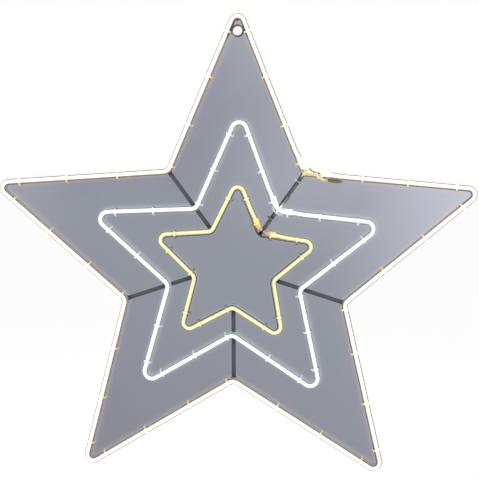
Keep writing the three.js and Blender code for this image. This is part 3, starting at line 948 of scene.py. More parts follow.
class Bender:
    """Pushes a section along straights and round bends, as a bar is bent on a bench."""

    def __init__(
        self, mesh: BMesh, section: Iterable[Vector], closed: bool = False, sheet: bool = False
    ) -> None:
        """Draws the starting section.

        Args:
            mesh: The mesh to add to.
            section: The section's corners in order, in the mesh's frame.
            closed: Whether the path comes back to its start, so that no end is capped.
            sheet: Whether the section is an open line, which makes a sheet.
        """
        self.mesh = mesh
        self.closed = closed
        corners = [mesh.verts.new(point) for point in section]
        pairs = zip(corners, corners[1:]) if sheet else zip(corners, [*corners[1:], corners[0]])
        self.edges = [mesh.edges.new(pair) for pair in pairs]  # The section at the moving end
        if not closed:
            mesh.faces.new(corners)

    def straight(self, run: Vector) -> None:
        """Pushes the section along a straight.

        Args:
            run: Its length and direction, in metres in the row frame.
        """
        grown = bmesh.ops.extrude_edge_only(self.mesh, edges=self.edges)["geom"]
        moved = [item for item in grown if isinstance(item, BMVert)]
        bmesh.ops.translate(self.mesh, vec=run, verts=moved)
        ends = set(moved)
        self.edges = [item for item in grown if isinstance(item, BMEdge) and ends.issuperset(item.verts)]

    def along(self, run: Vector) -> None:
        """Pushes the section along a drawn run."""
        self.straight(direction(run) * MM)

    def bend(self, centre: Vector, axis: Vector, angle: float, steps: int, full: bool = False) -> None:
        """Turns the section round a centre.

        Args:
            centre: A point on the bend's axis.
            axis: The bend's axis.
            angle: The turn in radians.
            steps: Number of facets.
            full: Whether the turn comes back to its start.
        """
        spun = bmesh.ops.spin(
            self.mesh,
            geom=list({vert for edge in self.edges for vert in edge.verts}) + self.edges,
            cent=centre, axis=axis, angle=angle, steps=steps, use_merge=full, use_duplicate=False,
        )
        self.edges = [item for item in spun["geom_last"] if isinstance(item, BMEdge)]

    def corner(self, star: Star, index: int, steps: int) -> None:
        """Turns the section round a star's corner."""
        centre = star.bend_centre(index)
        self.bend(place(centre.x, centre.y, 0), -FRONT, star.bend_angle(index), steps)

    def whole_star(self, star: Star, tip_steps: int, valley_steps: int) -> None:
        """Goes once round a star, from the end of the top tip's bend.

        Args:
            star: The star.
            tip_steps: Facets round a tip.
            valley_steps: Facets round a valley.
        """
        for index in range(CORNER_COUNT):
            self.along(star.side(index, 1)[0] * star.straight_length(index))
            self.corner(star, index + 1, valley_steps if star.is_tip(index) else tip_steps)
        self.end()

    def end(self) -> None:
        """Caps the far end, or joins it to the start."""
        if self.closed:
            bmesh.ops.remove_doubles(self.mesh, verts=self.mesh.verts, dist=1e-6)
        else:
            bmesh.ops.contextual_create(self.mesh, geom=self.edges)


def box(mesh: BMesh, size: Vector, centre: Vector) -> None:
    """Adds a box."""
    bmesh.ops.create_cube(mesh, size=1.0, matrix=Matrix.Translation(centre) @ Matrix.Diagonal((*size, 1.0)))


def round_edges(mesh: BMesh, edges: Iterable[BMEdge], radius: float, steps: int) -> None:
    """Rounds edges.

    Args:
        mesh: The mesh.
        edges: The edges.
        radius: How far the rounding reaches, in metres.
        steps: Number of facets across it.
    """
    bmesh.ops.bevel(
        mesh, geom=list(edges), offset=radius, segments=steps, profile=0.5, affect="EDGES",
        clamp_overlap=True, material=-1,
    )


def sharp_edges(mesh: BMesh, least: float = math.radians(60)) -> list[BMEdge]:
    """Lists the edges whose faces meet at more than an angle."""
    return [edge for edge in mesh.edges if edge.is_manifold and edge.calc_face_angle(0.0) > least]


def face_front(mesh: BMesh) -> None:
    """Turns a flat sheet's faces to the star's front."""
    bmesh.ops.reverse_faces(mesh, faces=[face for face in mesh.faces if face.normal.dot(FRONT) < 0])


# Frame


@dataclass
class StarFrame:
    """Welded frame: three bent bars on edge, five spokes behind the inner two, and the hanging ring."""

    tip_steps: int = 20  # Facets round a tip
    valley_steps: int = 10  # Facets round a valley
    edge_radius: float = 0.22  # Rounding of the bars' edges
    edge_steps: int = 2  # Facets across it
    ring_wall: float = 1.5  # Wall of the ring
    ring_depth: float = 10.0  # Length of the ring along its bore
    ring_steps: int = 48  # Facets round the ring
    bead: float = 0.8  # Radius of a weld bead
    drop_share: float = 0.8  # Distance between a bead's drops, as a share of their radius
    ripple_share: float = 0.12  # How much the drops' size varies
    ripple_turn: float = 2.3  # Turn of that variation from one drop to the next, in radians
    ring_bead_inset: float = 1.0  # How far the ring's beads end before its faces
    ring_bead_at: float = 2.4  # Distance of its side beads from its middle, along each leg
    ring_bead_fall: float = 2.6  # How far the bead over its front comes down
    ring_bead_share: float = 0.7  # Size of that bead, as a share of the others

    def bar(self, star: Star, material: Material) -> Piece:
        """Bends one star from flat bar.

        Args:
            star: The star's line.
            material: Its paint.

        Returns:
            The bar.
        """
        mesh = bmesh.new()
        start = star.on_side(0, 1, star.bend_start(0))
        low, high = star.base, star.base + BAR_DEPTH
        corners = ((0, low), (0, high), (-BAR_THICKNESS, high), (-BAR_THICKNESS, low))
        bender = Bender(mesh, section_at(start, star.side(0, 1)[1], corners), closed=True)
        bender.whole_star(star, self.tip_steps, self.valley_steps)
        round_edges(mesh, sharp_edges(mesh), self.edge_radius * MM, self.edge_steps)
        name = f"{star.name}_frame_band"
        return add_piece(f"{name}_bar", mesh, material, [name])

    def spoke(self, index: int, place_name: str, material: Material) -> Piece:
        """Makes one spoke.

        Args:
            index: The valley that it leaves.
            place_name: The name of that valley.
            material: Its paint.

        Returns:
            The spoke.
        """
        start = heading(OUTER.bearing(index)) * (OUTER.valley_reach() - BAR_THICKNESS)
        end = heading(INNER.bearing(index)) * (INNER.valley_reach() - BAR_THICKNESS)
        run = (end - start).normalized()
        side = Vector((-run.y, run.x)) * (SPOKE_WIDTH / 2)
        mesh = bmesh.new()
        section = [
            place(start.x + sign * side.x, start.y + sign * side.y, height)
            for sign, height in ((1, 0), (1, SPOKE_DEPTH), (-1, SPOKE_DEPTH), (-1, 0))
        ]
        bender = Bender(mesh, section)
        bender.along(end - start)
        bender.end()
        round_edges(mesh, sharp_edges(mesh), self.edge_radius * MM, self.edge_steps)
        name = f"{place_name}_spoke"
        return add_piece(f"{name}_bar", mesh, material, [name])

    def ring(self, material: Material) -> Piece:
        """Cuts the hanging ring from tube.

        Args:
            material: Its steel.

        Returns:
            The ring.
        """
        mesh = bmesh.new()
        low = (BAR_DEPTH - self.ring_depth) / 2
        bore = RING_RADIUS - self.ring_wall
        corners = ((RING_RADIUS, 0), (RING_RADIUS, self.ring_depth), (bore, self.ring_depth), (bore, 0))
        section = [place(radius, HANGING_HEIGHT, low + depth) for radius, depth in corners]
        bender = Bender(mesh, section, closed=True)
        bender.bend(place(0, HANGING_HEIGHT, 0), -FRONT, 2 * math.pi, self.ring_steps, True)
        round_edges(mesh, sharp_edges(mesh), self.edge_radius * MM, self.edge_steps)
        return add_piece("hanging_ring_tube", mesh, material, ["hanging_ring"])

    def lay_bead(self, mesh: BMesh, start: Vector, end: Vector, radius: float) -> None:
        """Lays a weld bead as a row of overlapping drops.

        Args:
            mesh: The mesh to add to.
            start: Drawn x, y and height of its start.
            end: Drawn x, y and height of its end.
            radius: Radius of a drop.
        """
        count = max(2, math.ceil((end - start).length / (self.drop_share * radius)))
        for i in range(count + 1):
            spot = start.lerp(end, i / count)
            size = radius * (1 + self.ripple_share * math.sin(self.ripple_turn * i)) * MM
            matrix = Matrix.Translation(place(*spot))
            bmesh.ops.create_uvsphere(mesh, u_segments=8, v_segments=5, radius=size, matrix=matrix)

    def spoke_beads(self, mesh: BMesh) -> None:
        """Welds the spokes to the outer bar, and the middle and inner bar onto them.

        Args:
            mesh: The mesh to add to.
        """
        for index in range(FEED_VALLEY, CORNER_COUNT, 2):
            out = heading(OUTER.bearing(index))
            side = Vector((out.y, -out.x)) * (SPOKE_WIDTH / 2)
            root = out * (OUTER.valley_reach() - BAR_THICKNESS - self.bead / 3)
            for edge in (root + side, root - side):
                self.lay_bead(mesh, edge.to_3d(), Vector((edge.x, edge.y, SPOKE_DEPTH)), self.bead)
            if index == FEED_VALLEY:
                continue
            for star in (MIDDLE, INNER):
                out = heading(star.bearing(index))
                side = Vector((out.y, -out.x)) * (SPOKE_WIDTH / 2 - self.bead)
                root = out * (star.valley_reach() + self.bead / 3)
                ends = [Vector((*(root + edge), star.base)) for edge in (side, -side)]
                self.lay_bead(mesh, *ends, self.bead)

    def ring_beads(self, mesh: BMesh) -> None:
        """Welds the ring to the legs of the top tip, and the outer bar's ends together there.

        Args:
            mesh: The mesh to add to.
        """
        low = (BAR_DEPTH - self.ring_depth) / 2 + self.ring_bead_inset
        high = (BAR_DEPTH + self.ring_depth) / 2 - self.ring_bead_inset
        centre = Vector((0, HANGING_HEIGHT))
        for step in (1, -1):
            along, outward = OUTER.side(0, step)
            for shift in (-self.ring_bead_at, self.ring_bead_at):
                spot = centre + outward * (RING_RADIUS + SEAT_GAP / 2) + along * shift
                self.lay_bead(mesh, Vector((*spot, low)), Vector((*spot, high)), self.bead)
        apex = OUTER.bend_centre(0).y + OUTER.bend(0) - BAR_THICKNESS
        top = Vector((0, apex, high))
        self.lay_bead(mesh, Vector((0, apex, low)), top, self.bead)
        fall = Vector((0, apex - self.ring_bead_fall, high))
        self.lay_bead(mesh, top, fall, self.ring_bead_share * self.bead)

    def build(self, paints: dict[str, Material]) -> list[Piece]:
        """Builds the whole frame.

        Args:
            paints: The materials by finish name.

        Returns:
            Its pieces.
        """
        pieces = [self.bar(star, paints[f"{star.name}_paint"]) for star in (OUTER, MIDDLE, INNER)]
        for order, name in enumerate(VALLEY_NAMES):
            pieces.append(self.spoke(FEED_VALLEY + 2 * order, name, paints["spoke_paint"]))
        pieces.append(self.ring(paints["ring"]))
        beads = bmesh.new()
        self.spoke_beads(beads)
        self.ring_beads(beads)
        pieces.append(add_piece("frame_weld_beads", beads, paints["weld"]))
        return pieces


# Lights


@dataclass
class LightTube:
    """One lit tube with its boots."""

    star: Star  # The star that it runs round
    first_boot_at: float  # Distance from the feed valley to its first boot
    tube_finish: str  # Name of the tube's finish
    boot_finishes: tuple[str, str]  # Names of the first and last boot's finishes
    boot_length: float = 14.0  # Length of a boot
    boot_hold: float = 8.0  # How much of the tube a boot holds
    ease: float = 14.0  # Length over which the tube comes off the frame towards a boot
    ease_steps: int = 8  # Facets along it
    taper: float = 0.8  # Size of a boot's closed end as a share of its open end
    bend_steps: int = 16  # Facets round a corner
    dome_share: float = 0.995  # How much of the width the dome takes
    dome_steps: int = 10  # Facets across half the dome
    rim_angle: float = math.radians(50)  # Edges of a boot that are sharper than this are rounded
    rim_steps: int = 3  # Facets across that rounding

    def section(self, point: Vector, outward: Vector, near: float, margin: float) -> list[Vector]:
        """Corners of the tube's plain section, before its front is rounded.

        Args:
            point: The drawn point on the frame.
            outward: The drawn direction out of the star.
            near: Gap between the frame and the tube.
            margin: How far the section stands off the tube.

        Returns:
            The four corners.
        """
        low = self.star.base + ((BAR_DEPTH - TUBE_DEPTH) / 2 - margin)
        high = self.star.base + ((BAR_DEPTH + TUBE_DEPTH) / 2 + margin)
        close, far = near - margin, near + TUBE_WIDTH + margin
        return section_at(point, outward, ((close, low), (close, high), (far, high), (far, low)))

    def dome(self, mesh: BMesh, margin: float) -> None:
        """Rounds the front of a tube or boot over its whole width.

        Args:
            mesh: The mesh, with its plain section.
            margin: How far the section stands off the tube.
        """
        width = TUBE_WIDTH + 2 * margin
        front = -(self.star.base + (BAR_DEPTH + TUBE_DEPTH) / 2 + margin) * MM
        edges = [edge for edge in sharp_edges(mesh) if all(abs(v.co.y - front) < 1e-6 for v in edge.verts)]
        long_edges = [edge for edge in edges if abs(edge.calc_length() - width * MM) > 1e-6]
        round_edges(mesh, long_edges, width / 2 * self.dome_share * MM, self.dome_steps)

    def shift(self, bender: Bender, along: Vector, sideways: Vector) -> None:
        """Eases the tube sideways in a long S.

        Args:
            bender: The tube in the making.
            along: The drawn direction along the side.
            sideways: The drawn shift.
        """
        steps = self.ease_steps
        eased = [(1 - math.cos(math.pi * i / steps)) / 2 for i in range(steps + 1)]
        for low, high in zip(eased, eased[1:]):
            bender.along(along * (self.ease / steps) + sideways * (high - low))

    def sleeve(self, material: Material) -> Piece:
        """Runs the tube round the star from its first boot to its last.

        Args:
            material: Its silicone.

        Returns:
            The tube.
        """
        star = self.star
        lift = BOOT_GAP + BOOT_WALL
        hidden = self.boot_length - self.boot_hold + SEAT_GAP
        first, last = self.first_boot_at + hidden, BOOT_AT + hidden
        mesh = bmesh.new()
        along, outward = star.side(FEED_VALLEY, 1)
        start = star.on_side(FEED_VALLEY, 1, first)
        bender = Bender(mesh, self.section(start, outward, SEAT_GAP + lift, 0.0))
        bender.along(along * self.boot_hold)
        self.shift(bender, along, -outward * lift)
        left = star.side_length() - first - self.boot_hold - self.ease - star.bend_start(FEED_VALLEY + 1)
        bender.along(along * left)
        final = FEED_VALLEY + CORNER_COUNT - 1
        for index in range(FEED_VALLEY + 1, final + 1):
            bender.corner(star, index, self.bend_steps)
            along, outward = star.side(index, 1)
            length = star.straight_length(index)
            if index == final:
                length = star.side_length() - star.bend_start(index) - last - self.boot_hold - self.ease
            bender.along(along * length)
        self.shift(bender, along, outward * lift)
        bender.along(along * self.boot_hold)
        bender.end()
        self.dome(mesh, 0.0)
        outer = mesh.verts.layers.float.new("outer")
        for vert in mesh.verts:
            beyond = star.offset_of(drawn_place(vert.co)) - SEAT_GAP - TUBE_WIDTH / 2
            vert[outer] = clamp(0.5 + beyond / TUBE_WIDTH)
        name = f"{star.name}_light_sleeve"
        return add_piece(f"{name}_tube", mesh, material, [name])

    def boot(self, order: int, step: int, at: float, materials: dict[str, Material]) -> Piece:
        """Makes one boot.

        Args:
            order: 0 for the first boot and 1 for the last.
            step: 1 on the clockwise side of the feed valley and -1 on the other.
            at: Distance from the valley to its closed end.
            materials: The materials by finish name.

        Returns:
            The boot.
        """
        margin = BOOT_GAP + BOOT_WALL
        along, outward = self.star.side(FEED_VALLEY, step)
        start = self.star.on_side(FEED_VALLEY, step, at)
        mesh = bmesh.new()
        bender = Bender(mesh, self.section(start, outward, SEAT_GAP + margin, margin))
        for _ in range(2):
            bender.along(along * self.boot_length / 2)
        bender.end()
        self.dome(mesh, margin)
        round_edges(mesh, sharp_edges(mesh, self.rim_angle), BOOT_WALL * MM, self.rim_steps)
        middle = self.star.on_side(FEED_VALLEY, step, at, BOOT_MIDDLE)
        seat = Matrix.Translation(-place(middle.x, middle.y, self.star.base + BAR_DEPTH / 2))
        reach = direction(along).dot(place(middle.x, middle.y, 0)) + 2 * BOOT_WALL * MM
        closed_end = [vert for vert in mesh.verts if direction(along).dot(vert.co) < reach]
        bmesh.ops.scale(mesh, vec=(self.taper, self.taper, self.taper), space=seat, verts=closed_end)
        name = f"{self.star.name}_{('first', 'last')[order]}_boot"
        finish = self.boot_finishes[order]
        return add_piece(f"{name}_cap", mesh, materials[finish], [name])

    def build(self, materials: dict[str, Material]) -> list[Piece]:
        """Builds the tube and its boots.

        Args:
            materials: The materials by finish name.

        Returns:
            The pieces.
        """
        pieces = [self.sleeve(materials[self.tube_finish])]
        for order, (step, at) in enumerate(((1, self.first_boot_at), (-1, BOOT_AT))):
            pieces.append(self.boot(order, step, at, materials))
        return pieces


# Cable ties


@dataclass
class CableTie:
    """One cable tie: a strap pulled round a window, its head, and the cut-off tail."""

    left: float  # The window's left edge, under the head
    right: float  # The window's right edge
    bottom: float  # The window's back edge
    top: float  # The window's front edge
    lean: float = 0.0  # How far the tail leans from straight, in radians
    lit_from: float = 0.0  # Where the strap starts to lie over the tube or bar
    beyond: float = 1.0  # Share of the tube's light that the strap keeps beyond the tube
    fade: float = 1.3  # Length over which it goes down to that share
    lit_edge: float = 0.5  # Half the length over which it comes up at lit_from
    strap: float = 0.8  # Thickness of the strap
    width: float = 2.5  # Width of the strap
    turn_steps: int = 5  # Facets round a corner of the strap
    head: tuple = (3.2, 2.8, 1.2)  # Length, width and rise of the head
    tail: tuple = (0.4, 1.7, 0.8)  # Length, width and thickness of the tail
    edges: tuple = (0.144, 0.5, 0.18)  # Rounding of the strap's, head's and tail's edges
    pocket: tuple = (0.5, 0.3)  # Wall and depth of the pocket in the head's face

    def loop(self, mesh: BMesh) -> None:
        """Bends the strap round the window. Its front run has a stop at each change of its light.

        Args:
            mesh: The mesh to add to.
        """
        half = self.width / 2
        section = [
            Vector((0.0, self.bottom - out, across)) * MM
            for out, across in ((self.strap, -half), (self.strap, half), (0.0, half), (0.0, -half))
        ]
        bender = Bender(mesh, section, closed=True)
        rise = self.top - self.bottom
        stops = [
            self.right, self.right - self.fade, self.lit_from + self.lit_edge,
            max(self.left, self.lit_from - self.lit_edge), self.left,
        ]
        front = [Vector((end - start, 0, 0)) for start, end in zip(stops, stops[1:]) if end < start]
        turns = (
            ((self.right, self.bottom), [Vector((self.right, 0, 0))]),
            ((self.right, self.top), [Vector((0, rise, 0))]),
            ((self.left, self.top), front),
            ((self.left, self.bottom), [Vector((0, -rise, 0))]),
        )
        for centre, runs in turns:
            for run in runs:
                bender.straight(run * MM)
            bender.bend(Vector((*centre, 0)) * MM, Vector((0, 0, 1)), math.pi / 2, self.turn_steps)
        bender.straight(Vector((-self.left, 0, 0)) * MM)
        bender.end()
        round_edges(mesh, sharp_edges(mesh), self.edges[0] * MM, 1)

    def head_mesh(self) -> BMesh:
        """Shapes the head, with a pocket in its face.

        Returns:
            The mesh.
        """
        length, width, rise = self.head
        depth = self.strap + rise
        wall, pocket_depth = self.pocket
        head = bmesh.new()
        centre = Vector((self.left - depth / 2, (self.bottom + self.top) / 2, 0))
        box(head, Vector((depth, length, width)) * MM, centre * MM)
        round_edges(head, head.edges, self.edges[1] * MM, 2)
        face = min(head.faces, key=lambda item: item.calc_center_median().x)
        bmesh.ops.inset_individual(head, faces=[face], thickness=wall * MM, depth=-pocket_depth * MM)
        return head

    def tail_mesh(self) -> BMesh:
        """Shapes the cut-off tail, leaning from the head.

        Returns:
            The mesh.
        """
        length, width, thickness = self.tail
        reach = length + self.head[2]
        tail = bmesh.new()
        box(tail, Vector((reach, thickness, width)) * MM, Vector((-reach / 2, 0, 0)) * MM)
        round_edges(tail, tail.edges, self.edges[2] * MM, 1)
        bmesh.ops.rotate(tail, cent=(0, 0, 0), matrix=Matrix.Rotation(self.lean, 3, "Z"), verts=tail.verts)
        shift = Vector((self.left - self.strap, (self.bottom + self.top) / 2, 0)) * MM
        bmesh.ops.translate(tail, vec=shift, verts=tail.verts)
        return tail

    def build(self) -> BMesh:
        """Builds the tie at the origin.

        Returns:
            The mesh, its x outwards, y out of the wall and z along the frame.
        """
        mesh = bmesh.new()
        self.loop(mesh)
        for part in (self.head_mesh(), self.tail_mesh()):
            data = bpy.data.meshes.new("part")
            part.to_mesh(data)
            part.free()
            mesh.from_mesh(data)
            bpy.data.meshes.remove(data)
        mesh.verts.layers.float.new("lit")
        mesh.verts.layers.float.new("away")
        lit, away = (mesh.verts.layers.float[name] for name in ("lit", "away"))
        for vert in mesh.verts:
            over = clamp((vert.co.x / MM - self.lit_from) / (2 * self.lit_edge) + 0.5)
            past = clamp((vert.co.x / MM - self.right) / self.fade + 1)
            vert[away] = past
            vert[lit] = over * (1 - past * (1 - self.beyond))
        return mesh


@dataclass(frozen=True)
class TiePlace:
    """Where one tie goes."""

    name: str  # The piece's name
    point: Vector  # Its drawn place
    outward: Vector  # Its drawn direction away from its head
    height: float  # Height of the frame's back edge
    node: str | None = None  # The CAD node that it stands for, if there is one


@dataclass
class TieSet:
    """The ties of one star."""

    star: Star  # The star
    finish: str  # Name of their finish
    side_shares: tuple  # Places along each side, as shares of the way from its tip to its valley
    node_share: float  # The share whose ties are CAD nodes
    node_steps: tuple  # The sides whose ties are CAD nodes: 1 for clockwise, -1 for anticlockwise
    valleys: dict  # The valleys with a tie, and the CAD node of each one that has one
    # Shares that a side has instead of its usual ones, by tip, step and usual share
    moved: dict = field(default_factory=dict)
    valley_at: float = 9.0  # Distance from the corner to a valley's tie

    def places(self) -> list[TiePlace]:
        """Lists where the ties go.

        Returns:
            The places, side ties first.
        """
        star = self.star
        found = []
        node_number = 0
        for tip in range(0, CORNER_COUNT, 2):
            for step in (1, -1):
                outward = star.side(tip, step)[1]
                for share in self.side_shares:
                    node = None
                    if share == self.node_share and step in self.node_steps:
                        node_number += 1
                        node = f"{star.name}_side_tie_{node_number}"
                    way = "cw" if step > 0 else "ccw"
                    name = node or f"{star.name}_tie_{tip}_{way}_{round(share * 100)}"
                    share = self.moved.get((tip, step, share), share)
                    point = star.on_side(tip, step, share * star.side_length())
                    found.append(TiePlace(f"{name}_nylon", point, outward, star.base, node))
        for valley, node in self.valleys.items():
            point = star.on_side(valley, 1, self.valley_at)
            name = node or f"{star.name}_valley_{valley}_tie"
            found.append(TiePlace(f"{name}_nylon", point, star.side(valley, 1)[1], star.base, node))
        return found


@dataclass
class Ties:
    """Every cable tie on the star."""

    boot_margin: float = BOOT_GAP + BOOT_WALL  # How much wider a boot's tie is on each side
    # Distance from the feed valley to each star's first boot tie
    first_boot_ties: tuple = (24.0, 15.0, 15.0)
    last_boot_tie: float = 15.0  # Distance to each star's last boot tie
    spoke_shares: tuple = (0.17, 0.26)  # Places of the spoke's ties between the frames' valleys
    wire_slack: float = 0.9  # Room over the wire in a spoke's tie
    spoke_lit_at: float = 0.4  # Where a spoke tie's second tone sets in, from its left edge
    side_lean: float = 0.35  # Most that a side tie's tail leans, in radians
    side_turn: float = 7.3  # How much further round that lean's swing each next tie is, in radians
    boot_lean: float = 0.2  # How far a boot tie's tail leans
    spoke_lean: float = 0.15  # How far a spoke tie's tail leans

    def sets(self) -> list[TieSet]:
        """Lists the sets of side and valley ties.

        Returns:
            The sets, from the outer star inwards.
        """
        nodes = {
            FEED_VALLEY + 2 * order: f"outer_{name}_valley_tie"
            for order, name in enumerate(VALLEY_NAMES)
            if order > 0
        }
        shares, moved = (0.128, 0.404, 0.70), {(2, -1, 0.70): 0.66}
        return [
            TieSet(OUTER, "warm_nylon", shares, 0.404, (1, -1), nodes, moved),
            TieSet(MIDDLE, "cool_nylon", (0.208, 0.575), 0.575, (-1,), {3: None, 5: None, 9: None}),
            TieSet(INNER, "dim_nylon", (0.314,), 0.314, (-1,), {5: None, 7: None}),
        ]

    def frame_tie(self, star: Star, margin: float, lean: float) -> CableTie:
        """Sizes a tie that goes round a frame's bar and what lies beside it.

        Args:
            star: The frame's star. Only the wall is beyond the inner two, so their ties are dull there.
            margin: How far what lies beside the bar stands off the plain tube on each side.
            lean: Lean of the tail.

        Returns:
            The tie.
        """
        reach = max(BAR_DEPTH, TUBE_DEPTH + 2 * margin) / 2 + STRAP_GAP
        return CableTie(
            left=-BAR_THICKNESS - STRAP_GAP,
            right=SEAT_GAP + TUBE_WIDTH + 2 * margin + STRAP_GAP,
            bottom=BAR_DEPTH / 2 - reach,
            top=BAR_DEPTH / 2 + reach,
            lean=lean,
            beyond=1.0 if star is OUTER else 0.0,
        )

    def add(self, where: TiePlace, tie: CableTie, material: Material) -> Piece:
        """Puts one tie in its place.

        Args:
            where: The place.
            tie: The tie.
            material: Its nylon.

        Returns:
            The piece.
        """
        mesh = tie.build()
        mesh.transform(seat_matrix(where.point, where.outward, where.height))
        return add_piece(where.name, mesh, material, [where.node] if where.node else [])

    def boot_places(self) -> list[tuple[TiePlace, str]]:
        """Lists the ties round the boots.

        Returns:
            The place and the name of the finish of each.
        """
        found = []
        for star, first, finish in zip(
            (OUTER, MIDDLE, INNER), self.first_boot_ties, ("warm_nylon", "cool_nylon", "amber_nylon")
        ):
            for label, step, at in (("first", 1, first), ("last", -1, self.last_boot_tie)):
                node = f"{star.name}_{label}_boot_tie"
                point = star.on_side(FEED_VALLEY, step, at)
                outward = star.side(FEED_VALLEY, step)[1]
                found.append((TiePlace(f"{node}_nylon", point, outward, star.base, node), finish))
        return found

    def spoke_places(self) -> list[TiePlace]:
        """Lists the ties round the upper right spoke and its wire.

        Returns:
            The places, the outer one first.
        """
        start = heading(OUTER.bearing(FEED_VALLEY)) * (OUTER.valley_reach() - BAR_THICKNESS - SEAT_GAP)
        end = heading(INNER.bearing(FEED_VALLEY)) * (INNER.valley_reach() - BAR_THICKNESS)
        run = (end - start).normalized()
        found = []
        for label, share, upper, lower in (
            ("outer", self.spoke_shares[0], OUTER, MIDDLE), ("inner", self.spoke_shares[1], MIDDLE, INNER),
        ):
            reach = upper.valley_corner + (lower.valley_corner - upper.valley_corner) * share
            point = start + run * (start.length - reach)
            node = f"{label}_spoke_tie"
            found.append(TiePlace(f"{node}_nylon", point, Vector((-run.y, run.x)), 0.0, node))
        return found

    def build(self, materials: dict[str, Material]) -> list[Piece]:
        """Builds every tie.

        Args:
            materials: The materials by finish name.

        Returns:
            The ties.
        """
        pieces = []
        for group in self.sets():
            for where in group.places():
                lean = self.side_lean * math.sin(self.side_turn * len(pieces) + 1)
                tie = self.frame_tie(group.star, 0.0, lean)
                pieces.append(self.add(where, tie, materials[group.finish]))
        for where, finish in self.boot_places():
            star = OUTER if where.name.startswith(OUTER.name) else MIDDLE
            tie = self.frame_tie(star, self.boot_margin, self.boot_lean)
            pieces.append(self.add(where, tie, materials[finish]))
        half = SPOKE_WIDTH / 2 + STRAP_GAP
        top = SPOKE_DEPTH + SEAT_GAP + 2 * WIRE_RADIUS + self.wire_slack
        tie = CableTie(-half, half, -STRAP_GAP, top, self.spoke_lean, self.spoke_lit_at - half)
        for where, finish in zip(self.spoke_places(), ("spoke_nylon", "dusty_nylon")):
            pieces.append(self.add(where, tie, materials[finish]))
        return pieces


# Wiring


@dataclass(frozen=True)
class LeadCover:
    """A soft silicone cover over the leads at a boot's closed end."""

    star: Star  # The boot's star
    label: str  # Which boot it is
    step: int  # 1 on the clockwise side of the feed valley and -1 on the other
    start: tuple  # Its start inside the boot: distance from the valley and offset from the frame
    end: tuple  # Its open end, in the same way
    radii: tuple  # Its radii at the two ends
    finish: str  # Name of its finish

    def point(self, at: tuple, lift: float = 0.0) -> Vector:
        """Drawn x, y and height of a point on its axis."""
        spot = self.star.on_side(FEED_VALLEY, self.step, *at)
        return Vector((spot.x, spot.y, self.star.base + BAR_DEPTH / 2 + lift))


